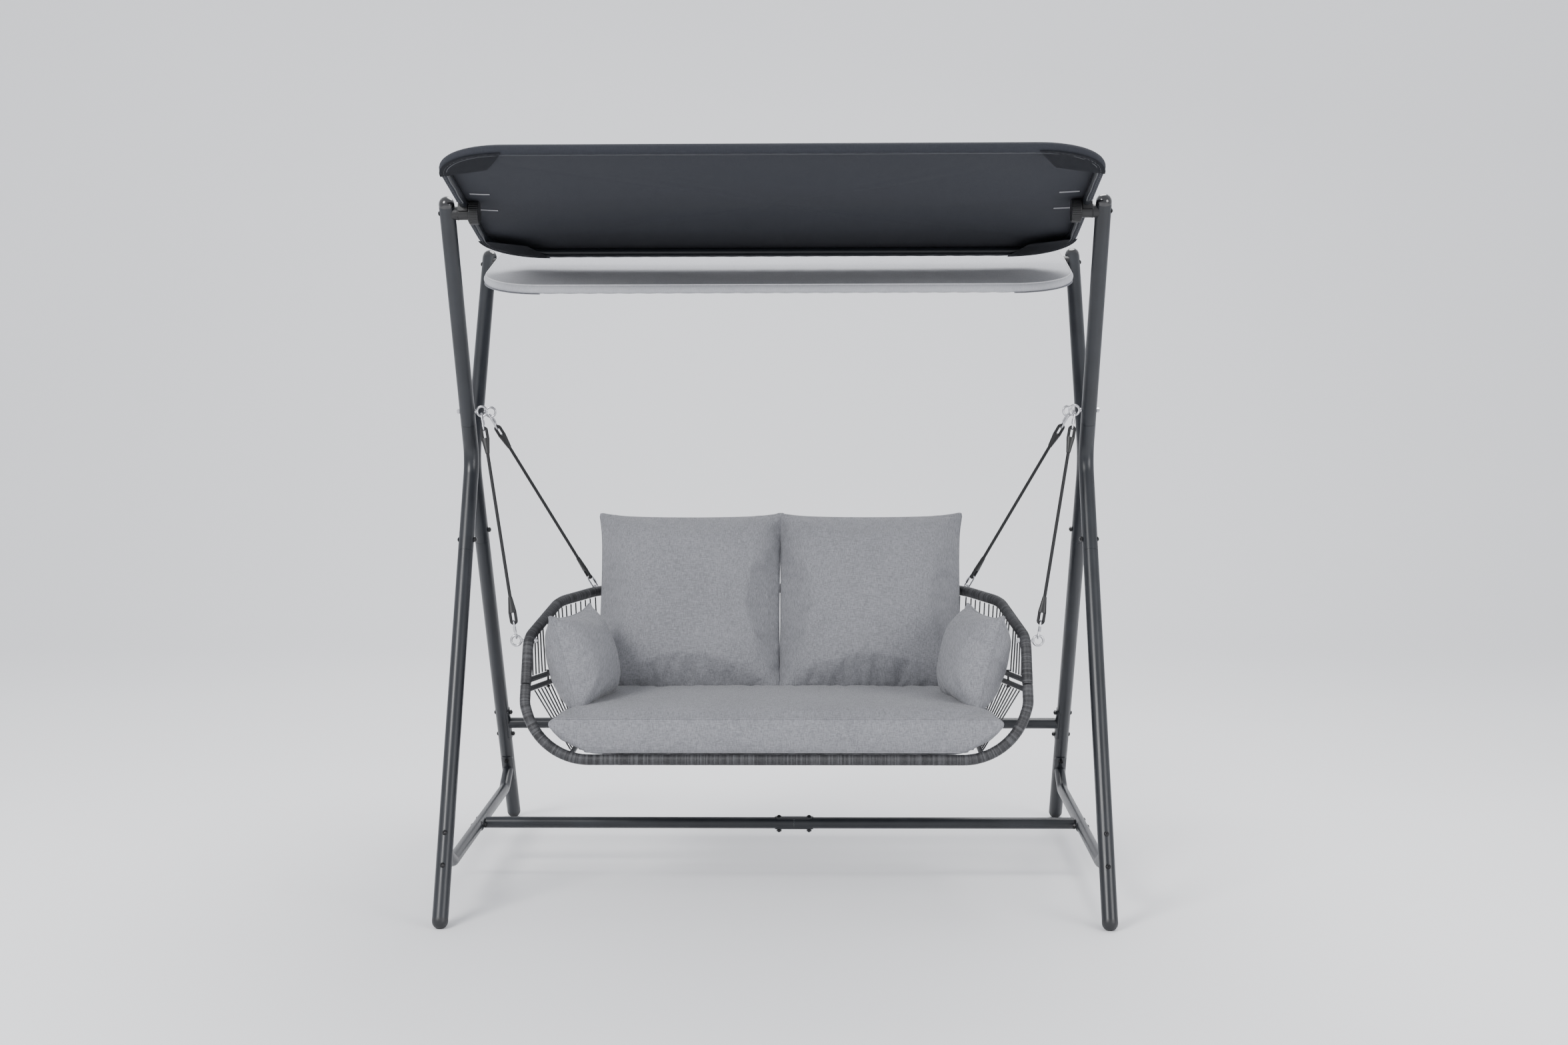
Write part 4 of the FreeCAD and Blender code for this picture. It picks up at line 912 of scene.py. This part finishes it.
    def pockets(self, palette: Palette) -> bpy.types.Object:
        """The pockets under the loop's corners that hold the cloth on the frame."""
        parts = []
        under = self.rail_z - self.POCKET_DROP
        for sx in (1, -1):
            for sy in (1, -1):
                arc = []
                for k in range(self.steps + 1):
                    a = math.radians(90.0 * k / self.steps)
                    r = self.corner - 0.0008
                    arc.append(Vector((sx * (self.half_x - self.corner + r * math.cos(a)),
                                       sy * (self.half_y - self.corner + r * math.sin(a)), under)))
                bm = bmesh.new()
                verts = [bm.verts.new(p) for p in arc]
                corner = bm.verts.new(Vector((sx * (self.half_x - self.POCKET_REACH),
                                              sy * (self.half_y - self.POCKET_REACH), under)))
                for a, b in zip(verts, verts[1:]):
                    bm.faces.new((a, b, corner))
                bmesh.ops.solidify(bm, geom=bm.faces[:], thickness=self.POCKET_T)
                bmesh.ops.recalc_face_normals(bm, faces=bm.faces)
                parts.append(bm)
        return self.finish("pockets", joined(parts), palette.materials[self.slot], smooth=False)

    def tapes(self, palette: Palette) -> bpy.types.Object:
        """Short ribbed tapes sewn under the cloth beside each hub."""
        parts = []
        for sx in (1, -1):
            for y in (-self.TAPE_Y, self.TAPE_Y):
                bm = bmesh.new()
                rows = []
                for k in range(self.TAPE_STEPS + 1):
                    x = sx * (self.TAPE_X + self.TAPE_LENGTH * k / self.TAPE_STEPS)
                    sheet_z = self.sagged(Vector((x, y, self.rail_z + self.wrap))).z
                    z = sheet_z - self.TAPE_DROP - self.TAPE_RIB * (k % 2)
                    rows.append([bm.verts.new((x, y + d, z))
                                 for d in (-self.TAPE_HALF, 0.0, self.TAPE_HALF)])
                for low, high in zip(rows, rows[1:]):
                    for i in range(2):
                        bm.faces.new((low[i], low[i + 1], high[i + 1], high[i]))
                bmesh.ops.solidify(bm, geom=bm.faces[:], thickness=self.TAPE_T)
                bmesh.ops.recalc_face_normals(bm, faces=bm.faces)
                parts.append(bm)
        return self.finish("tapes", joined(parts), palette.tape, smooth=False)

    def piping(self, palette: Palette) -> bpy.types.Object:
        """The pale welt round the top edge."""
        turn = math.radians(self.PIPING_TURN)
        z = self.rail_z + self.wrap * math.sin(turn) + self.PIPING_OUT
        points = [Vector((x, y, z)) for x, y in self.outline(self.wrap * (1 - math.cos(turn)))]
        welt = sweep(points, [self.PIPING_R] * len(points), 8, closed=True)
        return self.finish("piping", welt, palette.tape)


CANOPIES: tuple = (
    Canopy("front_canopy", Slot.FRONT_CLOTH, (-0.3571544, 1.970147), -13.4, piped=False),
    # the rear cover takes the pale grey of painted sheen, not a paler cloth of its own
    Canopy("rear_canopy", Slot.REAR_CLOTH, (0.3571544, 1.854433), 13.4, piped=True),
)


# ------------------------------------------------------------------ cushions
@dataclass(frozen=True)
class Cushion:
    """A stuffed cushion: in its own frame it is w wide, h high and t thick.

    edge is the share of the thickness that is left at the rim, pull is how far
    each side draws in between its corners, crown is how flat its middle is,
    ears is how far its corners stand out, fold is the depth of its creases and
    phase sets where they lie. A boxed cushion has a band between two seams.
    """

    node: str
    w: float
    h: float
    t: float
    place: Matrix
    edge: float
    pull: float
    crown: float
    voxel: float
    ears: float = 0.0
    boxed: bool = False
    shape: Optional[Callable] = None
    fold: float = 0.0
    phase: float = 0.0
    SEAM_POINTS = 360
    CUTS = 31
    FRAMES = 14
    MOST_MOVED = 0.016      # how far stuffing may move a point
    RIM_SHARE = 0.93
    BOX_SEAM = 0.86         # height of a boxed seam, as a share of t / 2
    PIPE_R = 0.0021
    BELLY = 0.020
    FAN_RIDGES = 13.0
    FAN_AT = 0.075
    FAN_WIDTH = 0.05
    DENT_SHARE = 0.9

    def rim(self, a: float, b: float) -> tuple:
        """Where a point of the unit square lies in the cushion's plane.

        Args:
            a: The point's place across, from -1 to 1.
            b: Its place upwards, from -1 to 1.

        Returns:
            The point's x and y in metres.
        """
        x = a * self.w / 2 * (1 - self.pull * (1 - b * b) * abs(a) ** 3)
        y = b * self.h / 2 * (1 - self.pull * (1 - a * a) * abs(b) ** 3)
        ear = 1 + self.ears * abs(a * b) ** 7
        return x * ear, y * ear

    def creases(self, a: float, b: float) -> float:
        """The height of the folds that fan out of the corners, and of broad dents."""
        u, v = 1 - abs(a), 1 - abs(b)
        reach = math.hypot(u * self.w, v * self.h) / 2
        phase = self.phase + (1.7 if a > 0 else 0.0) + (0.9 if b > 0 else 0.0)
        ridge = math.sin(math.atan2(v, u) * self.FAN_RIDGES + phase)
        fan = ridge * math.exp(-((reach - self.FAN_AT) / self.FAN_WIDTH) ** 2)
        dent = math.sin(2.6 * a + self.phase) * math.sin(3.4 * b + 2.0 * self.phase)
        return self.fold * fan + self.DENT_SHARE * self.fold * dent

    def form(self, a: float, b: float, c: float) -> Vector:
        """Where a point of the unit cube lies on the crowned form.

        Args:
            a: The point's place across, from -1 to 1.
            b: Its place upwards, from -1 to 1.
            c: Its place through the thickness, from -1 to 1.

        Returns:
            The point in the cushion's own frame.
        """
        x, y = self.rim(a, b)
        rise = ((1 - abs(a) ** self.crown) * (1 - abs(b) ** self.crown)) ** 0.5
        half = self.t / 2 * (self.edge + (1 - self.edge) * rise)
        z = c * half + self.creases(a, b) * rise
        if self.boxed:
            belly = 1 - self.BELLY * c * c
            x, y = x * belly, y * belly
        point = Vector((x, y, z))
        return self.shape(point) if self.shape else point

    def base(self) -> bpy.types.Object:
        """The form before it is stuffed, as an even fine mesh."""
        bm = bmesh.new()
        bmesh.ops.create_cube(bm, size=2.0)
        bmesh.ops.subdivide_edges(bm, edges=bm.edges[:], cuts=self.CUTS,
                                  use_grid_fill=True)
        for v in bm.verts:
            v.co = self.form(*v.co)
        obj = new_object(self.node + "_form", bm)
        remesh = obj.modifiers.new("remesh", "REMESH")
        remesh.mode = "VOXEL"
        remesh.voxel_size = self.voxel
        mesh = evaluated_copy(obj)
        obj.modifiers.clear()
        obj.data = mesh
        return obj

    def stuffed(self, obj: bpy.types.Object) -> None:
        """Let the form fill out as cloth under pressure, its seams held."""
        seams = obj.vertex_groups.new(name="seams")
        held = [v.index for v in obj.data.vertices if self.on_seam(v.co)]
        seams.add(held, 1.0, "REPLACE")
        rest = [v.co.copy() for v in obj.data.vertices]
        cloth = obj.modifiers.new("stuffing", "CLOTH")
        s = cloth.settings
        s.quality = 4
        s.mass = 0.25
        s.tension_stiffness = 12
        s.compression_stiffness = 6
        s.bending_stiffness = 0.12
        s.use_pressure = True
        s.uniform_pressure_force = 4.0
        s.shrink_min = -0.035
        s.vertex_group_mass = "seams"
        s.effector_weights.gravity = 0.0
        cloth.collision_settings.use_collision = False
        scene = bpy.context.scene
        for number in range(1, self.FRAMES + 1):
            scene.frame_set(number)
        mesh = evaluated_copy(obj)
        obj.modifiers.clear()
        scene.frame_set(1)
        for v, home in zip(mesh.vertices, rest):
            step = v.co - home
            if step.length > self.MOST_MOVED:
                v.co = home + step * (self.MOST_MOVED / step.length)
        obj.data = mesh

    def on_seam(self, p: Vector) -> bool:
        """Whether a point of the form lies on the seam round its rim."""
        near = max(abs(p.x) / (self.w / 2), abs(p.y) / (self.h / 2)) > self.RIM_SHARE
        level = self.t / 2 * self.BOX_SEAM if self.boxed else 0.0
        return near and abs(abs(p.z) - level) < self.voxel * 0.8

    def seam_lines(self, mesh: bpy.types.Mesh) -> list:
        """The seams, followed on the finished surface.

        Args:
            mesh: The stuffed cushion in its own frame.

        Returns:
            One closed line of points for each seam.
        """
        tree = BVHTree.FromPolygons([v.co for v in mesh.vertices],
                                    [tuple(p.vertices) for p in mesh.polygons])
        high = self.t / 2 * self.BOX_SEAM
        levels = (high, -high) if self.boxed else (0.0,)
        lines = []
        for level in levels:
            line = []
            middle = Vector((0.0, 0.0, level))
            for k in range(self.SEAM_POINTS):
                turn = FULL_TURN * k / self.SEAM_POINTS
                way = Vector((math.cos(turn) * self.w, math.sin(turn) * self.h, 0.0))
                hit = tree.ray_cast(middle + way, -way.normalized())
                if hit[0] is not None:
                    line.append(hit[0])
            lines.append(line)
        return lines

    def make(self, palette: Palette) -> bpy.types.Object:
        """Build the cushion and its seams in place of its CAD node.

        Args:
            palette: The materials.

        Returns:
            The cushion.
        """
        obj = self.base()
        self.stuffed(obj)
        lines = self.seam_lines(obj.data)
        obj.data.transform(self.place)
        for polygon in obj.data.polygons:
            polygon.use_smooth = True
        obj.name = self.node + "_look"
        smooth = obj.modifiers.new("smooth", "SUBSURF")
        smooth.levels = smooth.render_levels = 1
        palette.paint(obj, Slot.CUSHION)
        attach(obj, "seat")
        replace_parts(obj, self.node)
        self.pipe(lines, palette)
        return obj

    def pipe(self, lines: list, palette: Palette) -> None:
        """Add the thin sewn ridge along each seam.

        Args:
            lines: The seams.
            palette: The materials.
        """
        parts = [sweep(line, [self.PIPE_R] * len(line), 6, closed=True)
                 for line in lines if len(line) > 8]
        bm = joined(parts)
        bmesh.ops.transform(bm, matrix=self.place, verts=bm.verts)
        obj = new_object(self.node + "_seam", bm)
        palette.paint(obj, Slot.CUSHION)
        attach(obj, "seat")


BACK_LEAN = math.radians(25.0)
ARM_TURN = 15.0


def standing(centre: Vector, lean: float) -> Matrix:
    """Width along X, height along Z and thickness along Y, leaning back.

    Args:
        centre: The cushion's middle.
        lean: How far it leans, in radians.

    Returns:
        The cushion's place.
    """
    turn = Matrix.Rotation(-lean, 4, "X")
    stand = Matrix.Rotation(math.radians(90), 4, "X")
    return Matrix.Translation(centre) @ turn @ stand


def back_cushions() -> list:
    """The two cushions against the back."""
    up = Vector((0.0, math.sin(BACK_LEAN), math.cos(BACK_LEAN)))
    made = []
    for side, sign in (("right", 1), ("left", -1)):
        foot = Vector((sign * 0.281, 0.056, 0.535)) + CENTRE_SHIFT
        place = standing(foot + up * 0.285, BACK_LEAN)
        made.append(Cushion("back_cushion_" + side, 0.568, 0.582, 0.190, place,
                            edge=0.11, pull=0.022, crown=2.6, voxel=0.0085, ears=0.040,
                            fold=0.0055, phase=0.6 + sign))
    return made


def arm_cushions() -> list:
    """The two cushions against the arms, standing on edge."""
    made = []
    for side, sign in (("right", 1), ("left", -1)):
        centre = Vector((sign * 0.577, -0.183, 0.674)) + CENTRE_SHIFT
        turn = Matrix.Rotation(math.radians(ARM_TURN * sign), 4, "Z")
        lean = Matrix.Rotation(math.radians(ARM_TURN * sign), 4, "Y")
        up = Matrix.Rotation(math.radians(90), 4, "Z") @ Matrix.Rotation(math.radians(90), 4, "X")
        made.append(Cushion("arm_cushion_" + side, 0.292, 0.282, 0.160,
                            Matrix.Translation(centre) @ turn @ lean @ up,
                            edge=0.09, pull=0.070, crown=2.2, voxel=0.0065, ears=0.080,
                            fold=0.0045, phase=2.1 + sign))
    return made


PAD_HALF = 0.664             # half width of the seat cushion where it is widest
PAD_WIDEST = 0.033           # height of that place above its middle
PAD_DEPTH = 0.51
PAD_TAPER = 0.072
PAD_LOW_SLOPE = 1.32
PAD_HIGH_SLOPE = 1.1


def basket_fit(p: Vector) -> Vector:
    """Draw the seat cushion in towards its bottom, its back and its rear corners.

    Args:
        p: A point of the straight cushion.

    Returns:
        The point of the cushion that fits the basket.
    """
    back = min(1.0, max(0.0, p.y / PAD_DEPTH + 0.5))
    low = max(0.0, PAD_WIDEST - p.z)
    high = max(0.0, p.z - PAD_WIDEST)
    half = PAD_HALF - PAD_LOW_SLOPE * low - PAD_HIGH_SLOPE * high - PAD_TAPER * back
    x = p.x * half / PAD_HALF
    side = min(1.0, max(0.0, (abs(x) - half + 0.10) / 0.10))
    rear = min(1.0, max(0.0, (p.y - 0.155) / 0.10))
    cut = side * rear
    return Vector((x * (1 - 0.075 * cut), p.y - 0.045 * cut, p.z))


def seat_cushion() -> Cushion:
    """The long cushion of the seat."""
    low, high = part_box("seat_cushion")
    middle = (low + high) / 2
    place = Matrix.Translation(Vector((middle.x, middle.y - 0.004, 0.491)))
    depth = high.y - low.y + 0.012
    return Cushion("seat_cushion", 2 * PAD_HALF, depth, 0.112, place, edge=0.90, pull=0.004,
                   crown=3.0, voxel=0.0115, boxed=True, shape=basket_fit)


# ------------------------------------------------------------------ studio
@dataclass(frozen=True)
class Lamp:
    """A soft area lamp aimed at a point."""

    name: str
    place: tuple
    aim: tuple
    size: float
    power: float

    def make(self) -> None:
        """Add the lamp."""
        data = bpy.data.lights.new(self.name, "AREA")
        data.shape = "DISK"
        data.size = self.size
        data.energy = self.power
        obj = bpy.data.objects.new(self.name, data)
        bpy.context.scene.collection.objects.link(obj)
        obj.location = self.place
        way = Vector(self.aim) - Vector(self.place)
        obj.rotation_euler = way.to_track_quat("-Z", "Y").to_euler()


class Studio:
    """Camera, floor and light."""

    LENS = 47.68
    EYE = Vector((0.1452, -6.264, 1.605)) + CENTRE_SHIFT
    YAW, PITCH, ROLL = -0.0205, 0.0864, -0.0028
    FLOOR_FRONT, FLOOR_BACK, FLOOR_HALF = -9.0, 4.5, 14.0
    SWEEP_R, SWEEP_STEPS, WALL_TOP = 2.5, 12, 9.0
    SURROUND = (0.93, 0.95, 1.0, 1.0)
    SURROUND_STRENGTH = 1.05

    @staticmethod
    def clear() -> None:
        """Remove what a new file starts with."""
        for name in ("Cube", "Light", "Camera"):
            if name in bpy.data.objects:
                bpy.data.objects.remove(bpy.data.objects[name])

    def camera(self) -> None:
        """Place the camera at a standing person's eye, in front of the swing."""
        data = bpy.data.cameras.new("camera")
        data.lens = self.LENS
        data.sensor_width = 36.0
        obj = bpy.data.objects.new("camera", data)
        bpy.context.scene.collection.objects.link(obj)
        forward = Vector((math.sin(self.YAW) * math.cos(self.PITCH),
                          math.cos(self.YAW) * math.cos(self.PITCH), -math.sin(self.PITCH)))
        aim = forward.to_track_quat("-Z", "Y").to_matrix().to_4x4()
        obj.matrix_world = Matrix.Translation(self.EYE) @ aim @ Matrix.Rotation(self.ROLL, 4, "Z")
        bpy.context.scene.camera = obj

    def floor(self) -> None:
        """A pale floor that curves up behind the swing."""
        profile = [(self.FLOOR_FRONT, 0.0), (self.FLOOR_BACK, 0.0)]
        for k in range(1, self.SWEEP_STEPS + 1):
            a = math.radians(90.0 * k / self.SWEEP_STEPS)
            profile.append((self.FLOOR_BACK + self.SWEEP_R * math.sin(a),
                            self.SWEEP_R * (1 - math.cos(a))))
        profile.append((self.FLOOR_BACK + self.SWEEP_R, self.WALL_TOP))
        bm = bmesh.new()
        ends = (-self.FLOOR_HALF, self.FLOOR_HALF)
        rows = [[bm.verts.new((x, y, z)) for x in ends] for y, z in profile]
        for low, high in zip(rows, rows[1:]):
            bm.faces.new((low[0], low[1], high[1], high[0]))
        obj = new_object("floor", bm)
        g = Graph("floor_paint")
        haze = g.noise(g.place(), 0.6, 3.0)
        g.set("Base Color", g.between((0.86, 0.86, 0.87), (0.90, 0.90, 0.91), haze))
        g.set("Roughness", 0.75)
        obj.data.materials.append(g.material)

    def light(self) -> None:
        """Soft lamps and a pale surround."""
        world = bpy.data.worlds.new("surround")
        world.use_nodes = True
        back = world.node_tree.nodes["Background"]
        back.inputs[0].default_value = self.SURROUND
        back.inputs[1].default_value = self.SURROUND_STRENGTH
        bpy.context.scene.world = world
        for lamp in (Lamp("key", (-3.6, -4.6, 4.6), (0.0, 0.0, 0.9), 2.6, 330.0),
                     Lamp("fill", (4.6, -4.2, 2.6), (0.0, 0.0, 0.9), 3.0, 150.0),
                     Lamp("top", (0.6, 1.6, 5.2), (0.0, 0.3, 1.2), 3.2, 230.0)):
            lamp.make()


def main() -> None:
    """Build the whole look."""
    logging.basicConfig(level=logging.INFO)
    studio = Studio()
    studio.clear()
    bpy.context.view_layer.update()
    studio.camera()
    palette = Palette()
    palette.paint_cad()
    make_ropes(palette)
    studio.floor()
    studio.light()
    for node, route in (("upper_rim_wrap", UPPER_RIM), ("lower_rim_wrap", LOWER_RIM)):
        Wrap(node, route).make(palette)
    for canopy in CANOPIES:
        canopy.sheet(palette)
        canopy.trim(palette)
    for cushion in [seat_cushion()] + back_cushions() + arm_cushions():
        LOG.info("cushion %s", cushion.node)
        cushion.make(palette)


if __name__ == "__main__":
    main()
